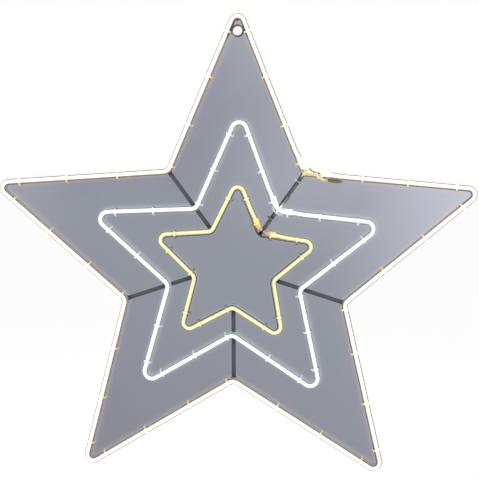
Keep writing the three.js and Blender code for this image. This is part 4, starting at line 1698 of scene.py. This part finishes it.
@dataclass
class Wiring:
    """The wires at the upper right valley, each a twisted pair, and their sleeves."""

    pitch: float = 11.0  # Length of one twist of a pair
    core: float = 0.68  # Radius of one insulated core
    shrink_share: float = 0.44  # Start of the link sleeve between the outer and middle valleys
    shrink_tip_at: float = 9.0  # Where the link sleeve ends, from the middle valley
    shrink: tuple = (2.1, 1.2)  # Radii of the link sleeve's ends
    # Length, radius, tip radius and taper of the supply joint's sleeve
    joint: tuple = (18.0, 2.2, 1.0, 5.0)
    joint_at: float = 32.0  # Where the joint starts, from the feed valley
    link_end_at: float = 9.0  # Where the second link wire ends, from the inner valley
    jumper_share: float = 0.62  # How far the jumper's cores lie apart, as a share of a wire's
    branch_share: float = 1.5  # The same for the branch's three cores
    lead_out: float = 0.8  # How far a boot's lead runs straight out of its cover
    lead_bow: float = 0.8  # How far it bows from there
    meet_height: float = 1.6  # Height over the wire where a star's two leads meet
    # A direction that no wire runs in, from which a pair's twist is measured
    aside: tuple = (0.31, -0.2, 0.93)
    sleeve_steps: int = 24  # Facets round a sleeve
    # The covers over the leads of the boots, given painted glow of the boots by their finishes
    covers: tuple = (
        LeadCover(OUTER, "jumper", -1, (8.8, 5.2), (4.8, 10.2), (2.9, 2.2), "outer_cover"),
        LeadCover(OUTER, "last", -1, (8.8, 4.1), (3.2, 5.0), (3.1, 2.6), "outer_cover"),
        LeadCover(MIDDLE, "first", 1, (8.6, 4.0), (3.2, 4.9), (2.9, 2.4), "middle_cover"),
        LeadCover(MIDDLE, "last", -1, (8.6, 4.0), (3.2, 4.9), (2.9, 2.4), "middle_cover"),
        LeadCover(INNER, "first", 1, (8.4, 4.1), (4.6, 6.2), (2.7, 2.1), "beige_boot"),
        LeadCover(INNER, "last", -1, (8.4, 4.1), (5.2, 6.4), (2.8, 2.2), "amber_boot"),
    )

    @property
    def inside(self) -> float:
        """Offset of the joint's middle from the outer frame."""
        return -BAR_THICKNESS - SEAT_GAP - self.joint[1]

    @property
    def shrink_start(self) -> float:
        """Where the link sleeve starts, from the middle valley."""
        return self.shrink_share * (OUTER.valley_corner - MIDDLE.valley_corner)

    def beside(self, spots: Iterable[tuple[float, float, float]], step: int = 1) -> list[Vector]:
        """Points beside the outer frame at the feed valley.

        Args:
            spots: Distance from the valley, offset from the frame and height over its middle of each.
            step: 1 on the clockwise side of the valley and -1 on the other.

        Returns:
            The drawn points.
        """
        route = []
        for along, offset, above in spots:
            point = OUTER.on_side(FEED_VALLEY, step, along, offset)
            route.append(Vector((point.x, point.y, BAR_DEPTH / 2 + above)))
        return route

    def over_frame(self, star: Star) -> list[Vector]:
        """Points where a wire climbs over a frame's front edge at the feed valley and down to the spoke.

        Args:
            star: The frame's star.

        Returns:
            The drawn points.
        """
        edge = star.base + BAR_DEPTH
        climb = ((5, -0.8), (3.4, 1.7), (1.2, 2.3), (-1.4, 1.2), (-3.1, -2.3))
        down = ((-3.7, 3.2), (-5.2, 0.5), (-8, 0))
        points = [star.near_valley(0, beyond, edge + above) for beyond, above in climb]
        return points + [star.near_valley(0, beyond, WIRE_ON_SPOKE + above) for beyond, above in down]

    def outer_link(self) -> list[Vector]:
        """Route from the outer tube's last boot to the link sleeve.

        Returns:
            The drawn points.
        """
        ends = (WIRE_GAP, WIRE_GAP + WIRE_STRAIGHT)
        route = self.beside([(BOOT_AT - back, BOOT_MIDDLE, 0) for back in ends], -1)
        route += self.over_frame(OUTER)
        for extra in ends[::-1]:
            route.append(MIDDLE.near_valley(0, self.shrink_start + extra, WIRE_ON_SPOKE))
        return route

    def inner_link(self) -> list[Vector]:
        """Route from the link sleeve's tip to the inner tube's boots.

        Returns:
            The drawn points.
        """
        height = SPOKE_DEPTH + SEAT_GAP + self.shrink[0]
        ends = (WIRE_GAP, WIRE_GAP + WIRE_STRAIGHT)
        route = [MIDDLE.near_valley(0, self.shrink_tip_at - back, height) for back in ends]
        return [*route, *self.over_frame(MIDDLE), INNER.near_valley(0, self.link_end_at, WIRE_ON_SPOKE)]

    def supply(self) -> list[Vector]:
        """Route from the joint over the outer frame and round into the outer tube's first boot.

        Returns:
            The drawn points.
        """
        return self.beside(
            (
                (self.joint_at - WIRE_GAP, self.inside, 0),
                (self.joint_at - WIRE_GAP - WIRE_STRAIGHT, self.inside, 0.1), (29, -4, 4), (26.8, -3.8, 7),
                (24.4, -3, 8.8), (21.8, -1.4, 9.4), (19.4, 0.8, 8.8), (17.6, 2.8, 7.2), (15.6, 4.2, 5),
                (14.2, 4.4, 2.7), (15.5, 4.2, 0.4),
                (SUPPLY_BOOT_AT - WIRE_GAP - WIRE_STRAIGHT, BOOT_MIDDLE, 0),
                (SUPPLY_BOOT_AT - WIRE_GAP, BOOT_MIDDLE, 0),
            )
        )

    def boot_lead(self, cover: LeadCover, end: Vector) -> list[Vector]:
        """Route of a thin lead from a cover's open end to where the wires meet.

        Args:
            cover: The cover.
            end: The drawn point where it ends.

        Returns:
            The route.
        """
        start, mouth = cover.point(cover.start), cover.point(cover.end)
        out = mouth + (mouth - start).normalized() * self.lead_out
        return [mouth.lerp(start, 0.2), out, out.lerp(end, 0.55) + Vector((0, 0, self.lead_bow)), end]

    def jumper(self) -> list[Vector]:
        """Route of the lead between the outer tube's two boots, outside the valley.

        Returns:
            The drawn points.
        """
        cover = self.covers[0]
        bow = (
            (8.6, 8.4, 1.6), (10.4, 6.9, 3.8), (12.8, 5.7, 4.8), (15.6, 4.8, 4.8), (18.4, 4.3, 3.4),
            (20.2, 4.2, 1.8), (SUPPLY_BOOT_AT + 0.4, 4.2, 1.2),
        )
        return [cover.point(cover.end, -0.4), *self.beside(bow)]

    def branch(self) -> list[Vector]:
        """Route of the leads from the supply wire back to the link wire, lying along the outer bar.

        Returns:
            The drawn points.
        """
        spots = ((20.4, -1.4, 10), (18.4, 1, 8.8), (15.2, 2.2, 7.6), (11, 2.7, 7.2), (7, 2.8, 7.6))
        return [
            *self.beside(spots),
            OUTER.near_valley(1.5, 2.8, BAR_DEPTH + 3.4),
            OUTER.near_valley(0.2, 0.6, BAR_DEPTH + 3.6),
        ]

    def smooth(self, route: Sequence[Vector], step: float = 0.7) -> list[Vector]:
        """Runs a smooth line through a route.

        Args:
            route: Its points.
            step: Distance between the points of the line.

        Returns:
            The line's points.
        """
        line = []
        padded = [route[0] * 2 - route[1], *route, route[-1] * 2 - route[-2]]
        for a, b, c, d in zip(padded, padded[1:], padded[2:], padded[3:]):
            count = max(2, round((c - b).length / step))
            for i in range(count):
                t = i / count
                bent = (2 * a - 5 * b + 4 * c - d) * t**2 + (3 * b - a - 3 * c + d) * t**3
                line.append(0.5 * (2 * b + (c - a) * t + bent))
        line.append(route[-1])
        return line

    def cores(self, route: Sequence[Vector], spread_by: float, phases: tuple = (0.0, math.pi)) -> BMesh:
        """Twists insulated cores round a route.

        Args:
            route: The route's drawn points.
            spread_by: Distance of each core from the route.
            phases: Turn of each core round the route, in radians.

        Returns:
            The mesh of the cores.
        """
        line = self.smooth(route)
        mesh = bmesh.new()
        for phase in phases:
            curve = bpy.data.curves.new("core", "CURVE")
            curve.dimensions = "3D"
            curve.bevel_depth = self.core * MM
            curve.bevel_resolution = 2
            curve.use_fill_caps = True
            spline = curve.splines.new("POLY")
            spline.points.add(len(line) - 1)
            travelled = 0.0
            for i, point in enumerate(line):
                ahead = line[min(i + 1, len(line) - 1)] - line[max(i - 1, 0)]
                side = ahead.cross(Vector(self.aside)).normalized()
                turn = phase + 2 * math.pi * travelled / self.pitch
                spread = side * math.cos(turn) + ahead.normalized().cross(side) * math.sin(turn)
                spot = point + spread * spread_by
                spline.points[i].co = (*place(spot.x, spot.y, spot.z), 1.0)
                if i + 1 < len(line):
                    travelled += (line[i + 1] - point).length
            holder = bpy.data.objects.new("core", curve)
            data = bpy.data.meshes.new_from_object(holder)
            mesh.from_mesh(data)
            bpy.data.objects.remove(holder)
            bpy.data.meshes.remove(data)
        bmesh.ops.remove_doubles(mesh, verts=mesh.verts, dist=1e-7)
        return mesh

    def lathe(self, profile: Sequence[tuple[float, float]], matrix: Matrix) -> BMesh:
        """Turns a sleeve on its axis.

        Args:
            profile: Its radius and distance along the axis, at each point.
            matrix: Places the sleeve, whose axis is z.

        Returns:
            The mesh.
        """
        mesh = bmesh.new()
        points = [mesh.verts.new(Vector((radius, 0, along)) * MM) for radius, along in profile]
        edges = [mesh.edges.new(pair) for pair in zip(points, points[1:])]
        bmesh.ops.spin(
            mesh, geom=points + edges, cent=(0, 0, 0), axis=(0, 0, 1), angle=2 * math.pi,
            steps=self.sleeve_steps, use_merge=True, use_duplicate=False,
        )
        bmesh.ops.remove_doubles(mesh, verts=mesh.verts, dist=1e-6)
        mesh.transform(matrix)
        return mesh

    def joint_sleeve(self) -> BMesh:
        """Shapes the supply joint's sleeve, with its ends shrunk over the wire and slight waists.

        Returns:
            The mesh.
        """
        length, radius, tip, taper = self.joint
        profile = [(0, 0), (radius * 0.72, 0), (radius * 0.93, 1.2)]
        for share in (0.3, 0.45, 0.6, 0.8, 1.0):
            waist = 1 - 0.05 * (1 + math.cos(6 * math.pi * share)) / 2
            profile.append((radius * waist, share * (length - taper)))
        profile += [(radius * 0.62, length - taper * 0.45), (tip, length), (0, length)]
        along, outward = OUTER.side(FEED_VALLEY, 1)
        start = OUTER.on_side(FEED_VALLEY, 1, self.joint_at, self.inside)
        return self.lathe(profile, seat_matrix(start, outward, BAR_DEPTH / 2))

    def link_sleeve(self) -> BMesh:
        """Shapes the sleeve between the link wire and the middle tube's boots.

        Returns:
            The mesh.
        """
        length = self.shrink_start - self.shrink_tip_at
        wide, tip = self.shrink
        profile = [(0, 0), (tip, 0)]
        profile += [(tip + (wide - tip) * share**0.8, share * length) for share in (0.3, 0.6, 0.85)]
        profile += [(wide, length - 0.5), (wide * 0.8, length), (0, length)]
        base = place(*MIDDLE.near_valley(0, self.shrink_tip_at, SPOKE_DEPTH + SEAT_GAP + wide))
        axis = direction(heading(MIDDLE.bearing(FEED_VALLEY)))
        return self.lathe(profile, axis_matrix(base, axis))

    def cover_mesh(self, cover: LeadCover) -> BMesh:
        """Shapes a cover, soft at its open end.

        Args:
            cover: The cover.

        Returns:
            The mesh.
        """
        start, end = cover.point(cover.start), cover.point(cover.end)
        axis = place(*end) - place(*start)
        length = axis.length / MM
        wide, tip = cover.radii
        profile = [(0, 0), (wide * 0.9, 0), (wide, 0.5)]
        profile += [(wide + (tip - wide) * share**1.5, share * length) for share in (0.4, 0.65, 0.85)]
        profile += [(tip * 0.92, length - 0.25), (tip * 0.7, length), (0, length)]
        return self.lathe(profile, axis_matrix(place(*start), axis))

    def build(self, materials: dict[str, Material]) -> list[Piece]:
        """Builds the wires and sleeves.

        Args:
            materials: The materials by finish name.

        Returns:
            The pieces.
        """
        twist = WIRE_RADIUS - self.core
        parts = (
            ("outer_link_wire", self.cores(self.outer_link(), twist), "outer_cable", "clear_wire"),
            ("inner_link_wire", self.cores(self.inner_link(), twist), "inner_cable", "clear_wire"),
            ("supply_wire", self.cores(self.supply(), twist), "supply_cable", "clear_wire"),
            ("supply_joint_sleeve", self.joint_sleeve(), "joint_sleeve", "shrink_sleeve"),
            ("link_shrink_sleeve", self.link_sleeve(), "link_sleeve", "clear_boot"),
        )
        pieces = [
            add_piece(f"{node}_made", mesh, materials[finish], [node])
            for node, mesh, finish, slot in parts
        ]
        jumper = self.cores(self.jumper(), self.jumper_share * twist)
        pieces.append(add_piece("outer_jumper_lead", jumper, materials["jumper_cable"]))
        phases = (0.0, 2 * math.pi / 3, 4 * math.pi / 3)
        branch = self.cores(self.branch(), self.branch_share * twist, phases)
        pieces.append(add_piece("supply_branch_leads", branch, materials["supply_cable"]))
        height = WIRE_ON_SPOKE + self.meet_height
        meets = {
            "middle": (MIDDLE.near_valley(0, self.shrink_tip_at + 3.0, height), "middle_lead"),
            "inner": (INNER.near_valley(0, self.link_end_at + 1.0, height), "inner_lead"),
        }
        for cover in self.covers:
            name = f"{cover.star.name}_{cover.label}"
            shaped = self.cover_mesh(cover)
            pieces.append(add_piece(f"{name}_lead_cover", shaped, materials[cover.finish]))
            if cover.star.name in meets:
                meet, finish = meets[cover.star.name]
                lead = self.cores(self.boot_lead(cover, meet), 0.0, (0.0,))
                pieces.append(add_piece(f"{name}_lead", lead, materials[finish]))
        return pieces


# Stage


class Backdrop(Enum):
    """Colours round the star."""

    WHITE = (1.0, 1.0, 1.0)
    SKY = (0.72, 0.73, 0.75)
    WALL = srgb(147, 151, 161)
    # Painted light and shade on the wall
    BRIGHT_WALL = srgb(205, 205, 219)
    DARK_WALL = srgb(134, 133, 144)
    SMUDGE = srgb(132, 134, 144)


@dataclass
class Stage:
    """Camera, lamps, floor, and the strip of wall that shows through the star."""

    azimuth: float = 4.15  # The camera's bearing round the star, in degrees to its right
    elevation: float = 4.17  # The camera's height above it, in degrees
    roll: float = 0.70  # The camera's roll clockwise, in degrees
    distance: float = 1.6  # Distance from the camera to the aim point, in metres
    aim: tuple = (0.0055, -0.006, -0.2604)  # The aim point in the row frame, in metres
    lens: float = 95.5  # The lens, for a picture as wide as film
    film: float = 36.0  # Width of the picture behind the lens
    wall_gap: float = 3.5  # Distance from the star's back to the wall
    wall_steps: int = 6  # Facets across half a corner of the wall's outline
    hole_inset: float = 0.7  # How much smaller the wall's hole is than the ring
    floor_drop: float = 0.86  # Distance from the ring down to the floor, in metres
    floor_reach: float = 20.0  # Half the floor's width, in metres
    halo_reach: float = 10.0  # How far a tube's light shows on the wall, from the tube's middle
    halo_lift: float = 0.2  # How far that light's sheet lies off the wall
    halo_steps: int = 3  # Facets across half of it
    halo_bend_steps: int = 12  # Facets round its corners

    def camera(self) -> None:
        """Sets up the photograph's camera."""
        turn, rise = math.radians(self.azimuth), math.radians(self.elevation)
        back = Vector((math.sin(turn) * math.cos(rise), -math.cos(turn) * math.cos(rise), math.sin(rise)))
        data = bpy.data.cameras.new("camera")
        data.lens = self.lens
        data.sensor_width = self.film
        data.clip_end = 50.0
        camera = bpy.data.objects.new("camera", data)
        bpy.context.scene.collection.objects.link(camera)
        spin = Matrix.Rotation(math.radians(self.roll), 4, "Z")
        look = (-back).to_track_quat("-Z", "Y").to_matrix().to_4x4()
        camera.matrix_world = Matrix.Translation(Vector(self.aim) + back * self.distance) @ look @ spin
        bpy.context.scene.camera = camera

    def lamp(self, name: str, spot: tuple, size: float, power: float) -> None:
        """Hangs a soft square lamp that points at the star.

        Args:
            name: Its name.
            spot: Its place in metres.
            size: Its side in metres.
            power: Its power in watts.
        """
        data = bpy.data.lights.new(name, "AREA")
        data.size = size
        data.energy = power
        lamp = bpy.data.objects.new(name, data)
        bpy.context.scene.collection.objects.link(lamp)
        lamp.location = spot
        lamp.rotation_mode = "QUATERNION"
        lamp.rotation_quaternion = (Vector(self.aim) - Vector(spot)).to_track_quat("-Z", "Y")

    def seen(self, tree: ShaderTree) -> Field:
        """Share of rays that see the stage's plain colour.

        Args:
            tree: The tree of a material or the world.

        Returns:
            1 for camera, glossy and transmission rays, and 0 for the rest.
        """
        path = tree.add("ShaderNodeLightPath")
        camera, glossy, through = (
            Field(tree, path.outputs[f"Is {kind} Ray"]) for kind in ("Camera", "Glossy", "Transmission")
        )
        return (camera + glossy + through).ramp(0.0, 1.0)

    def world(self) -> None:
        """Makes the world: white to the camera and soft grey as a lamp."""
        world = bpy.data.worlds.new("world")
        bpy.context.scene.world = world
        world.use_nodes = True
        tree = ShaderTree(world.node_tree)
        glow, white = (
            tree.take("ShaderNodeBackground", inputs={"Color": shade.value, "Strength": 1.0})
            for shade in (Backdrop.SKY, Backdrop.WHITE)
        )
        tree.finish(tree.shader_mix(glow, white, self.seen(tree)), "ShaderNodeOutputWorld")

    def floor_shader(self, tree: ShaderTree) -> Field:
        """Mixes a lit floor with plain white.

        Args:
            tree: The material's tree.

        Returns:
            Its shader.
        """
        colour = tree.mix((0.86, 0.86, 0.86), (0.9, 0.9, 0.9), tree.noise(6, 3))
        lit = tree.surface({"Base Color": colour, "Roughness": 0.8})
        return tree.shader_mix(lit, tree.emission(Backdrop.WHITE.value), self.seen(tree) * 0.92)

    def floor(self) -> None:
        """Lays a pale floor that keeps the star's shadow."""
        mesh = bmesh.new()
        matrix = Matrix.Translation((0, 0, -self.floor_drop))
        bmesh.ops.create_grid(mesh, x_segments=1, y_segments=1, size=self.floor_reach, matrix=matrix)
        self.add_stage("floor", mesh, self.floor_shader)

    def wall_shader(self, tree: ShaderTree) -> Field:
        """Paints light from the upper right on the wall, with a pool of light, and shade at its lower left.

        Args:
            tree: The material's tree.

        Returns:
            Its shader.
        """
        x, _, z = tree.axes(tree.point())
        z = z + HANGING_HEIGHT * MM
        # Painted light: brighter to the right, at the top, in a pool and at the far left; painted shade at
        # the lower left
        right = (x + z * 0.35).ramp(0.06, 0.4)
        left = (-x).ramp(0.18, 0.3)
        low = (-z - x * 0.5).ramp(0.0, 0.42)
        top = z.ramp(0.12, 0.34)
        spot = 1 - tree.distance_from(58, 111).ramp(0.0, 0.12)
        bright = right + top * 0.24 + spot * 0.2 + left * 0.16
        smudge = tree.noise(9, 3)
        colour = tree.mix(Backdrop.WALL.value, Backdrop.BRIGHT_WALL.value, bright)
        colour = tree.mix(colour, Backdrop.DARK_WALL.value, low * 0.8)
        colour = tree.mix(colour, Backdrop.SMUDGE.value, smudge.ramp(0.5, 0.8) * 0.25)
        return tree.shader_mix(tree.emission(colour), tree.clear(), tree.behind())

    def wall(self) -> None:
        """Cuts the wall behind the star to the star's own outline, with the ring's hole through it."""
        mesh = bmesh.new()
        outline = []
        for index in range(CORNER_COUNT):
            centre, half = OUTER.bend_centre(index), math.pi / 2 - OUTER.half_angle(index)
            side = 1 if OUTER.is_tip(index) else -1
            for i in range(2 * self.wall_steps + 1):
                facing = heading(OUTER.bearing(index) + side * half * (i / self.wall_steps - 1))
                point = centre + facing * (side * OUTER.bend(index) + SEAT_GAP + TUBE_WIDTH / 2)
                outline.append(mesh.verts.new(place(point.x, point.y, -self.wall_gap)))
        edges = [mesh.edges.new(pair) for pair in zip(outline, [*outline[1:], outline[0]])]
        turned = Matrix.Rotation(math.pi / 2, 4, "X")
        hole = bmesh.ops.create_circle(
            mesh,
            segments=48,
            radius=(RING_RADIUS - self.hole_inset) * MM,
            matrix=Matrix.Translation(place(0, HANGING_HEIGHT, -self.wall_gap)) @ turned,
        )["verts"]
        edges += list({edge for vert in hole for edge in vert.link_edges})
        bmesh.ops.triangle_fill(mesh, use_beauty=True, use_dissolve=False, edges=edges, normal=FRONT)
        face_front(mesh)
        self.add_stage("wall", mesh, self.wall_shader)

    def halo(self, star: Star, colour: tuple, share: float) -> None:
        """Lays the light that a tube throws on the wall, as a soft-edged sheet on it.

        Args:
            star: The tube's star.
            colour: The light.
            share: How strong it is under the tube.
        """
        middle = SEAT_GAP + TUBE_WIDTH / 2
        mesh = bmesh.new()
        steps = self.halo_steps
        start = star.on_side(0, 1, star.bend_start(0))
        offsets = [middle + self.halo_reach * (i / steps - 1) for i in range(2 * steps + 1)]
        height = self.halo_lift - self.wall_gap
        section = section_at(start, star.side(0, 1)[1], [(offset, height) for offset in offsets])
        bender = Bender(mesh, section, closed=True, sheet=True)
        bender.whole_star(star, self.halo_bend_steps, self.halo_bend_steps)
        glow = mesh.verts.layers.float.new("glow")
        for vert in mesh.verts:
            away = abs(star.offset_of(drawn_place(vert.co)) - middle)
            vert[glow] = clamp(1 - away / self.halo_reach)
        face_front(mesh)

        def shader(tree: ShaderTree) -> Field:
            """Mixes the light over what is behind it."""
            strength = tree.attribute("glow").power(2.0) * share * (1 - tree.behind())
            return tree.shader_mix(tree.clear(), tree.emission(colour), strength)

        self.add_stage(f"{star.name}_light_on_wall", mesh, shader)

    def add_stage(self, name: str, mesh: BMesh, shader: Callable[[ShaderTree], Field]) -> None:
        """Adds an object that isn't part of the star. Its mesh is freed."""
        piece = new_object(name, mesh, new_material(name, shader))

    def build(self) -> None:
        """Sets the whole stage."""
        self.camera()
        self.world()
        self.floor()
        self.wall()
        self.halo(OUTER, (1.0, 0.88, 0.8), 0.5)
        self.halo(MIDDLE, (0.94, 0.98, 1.0), 0.4)
        self.halo(INNER, (1.0, 0.95, 0.66), 0.14)
        self.lamp("key", (1.4, -2.2, 1.2), 1.6, 42)
        self.lamp("fill", (-1.9, -1.6, 0.3), 1.8, 22)
        self.lamp("back", (0.3, 2.2, 1.0), 1.6, 38)


def dress_strips(frame: dict, material: Material) -> list[str]:
    """Gives the LED strips, the CAD nodes that stay, their material.

    Args:
        material: The strips' material.

    Returns:
        The strips' names.
    """
    strips = {name: node for name, node in frame["nodes"].items() if name.endswith("led_strip")}
    for node in strips.values():
        node.data.materials.clear()
        node.data.materials.append(material)
    return list(strips)


def main() -> None:
    """Builds the scene in order."""
    logging.basicConfig(level=logging.INFO, format="%(message)s")
    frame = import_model()
    bpy.context.scene.view_settings.view_transform = "Standard"
    Stage().build()
    materials = {name: new_material(name, finish.shader) for name, finish in FINISHES.items()}
    lights = (
        LightTube(OUTER, SUPPLY_BOOT_AT, "warm_tube", ("first_boot", "last_boot")),
        LightTube(MIDDLE, BOOT_AT, "cool_tube", ("middle_boot", "middle_boot")),
        LightTube(INNER, BOOT_AT, "yellow_tube", ("beige_boot", "amber_boot")),
    )
    assemblies = {"frame": StarFrame().build(materials)}
    for light in lights:
        assemblies[f"{light.star.name} light"] = light.build(materials)
    assemblies["ties"] = Ties().build(materials)
    assemblies["wiring"] = Wiring().build(materials)
    for assembly, pieces in assemblies.items():
        for piece in pieces:
            log.info("%s: %s, %d faces", assembly, piece.name, len(piece.data.polygons))
    for name in dress_strips(frame, materials["strip"]):
        log.info("kept from the CAD: %s", name)


if __name__ == "__main__":
    main()
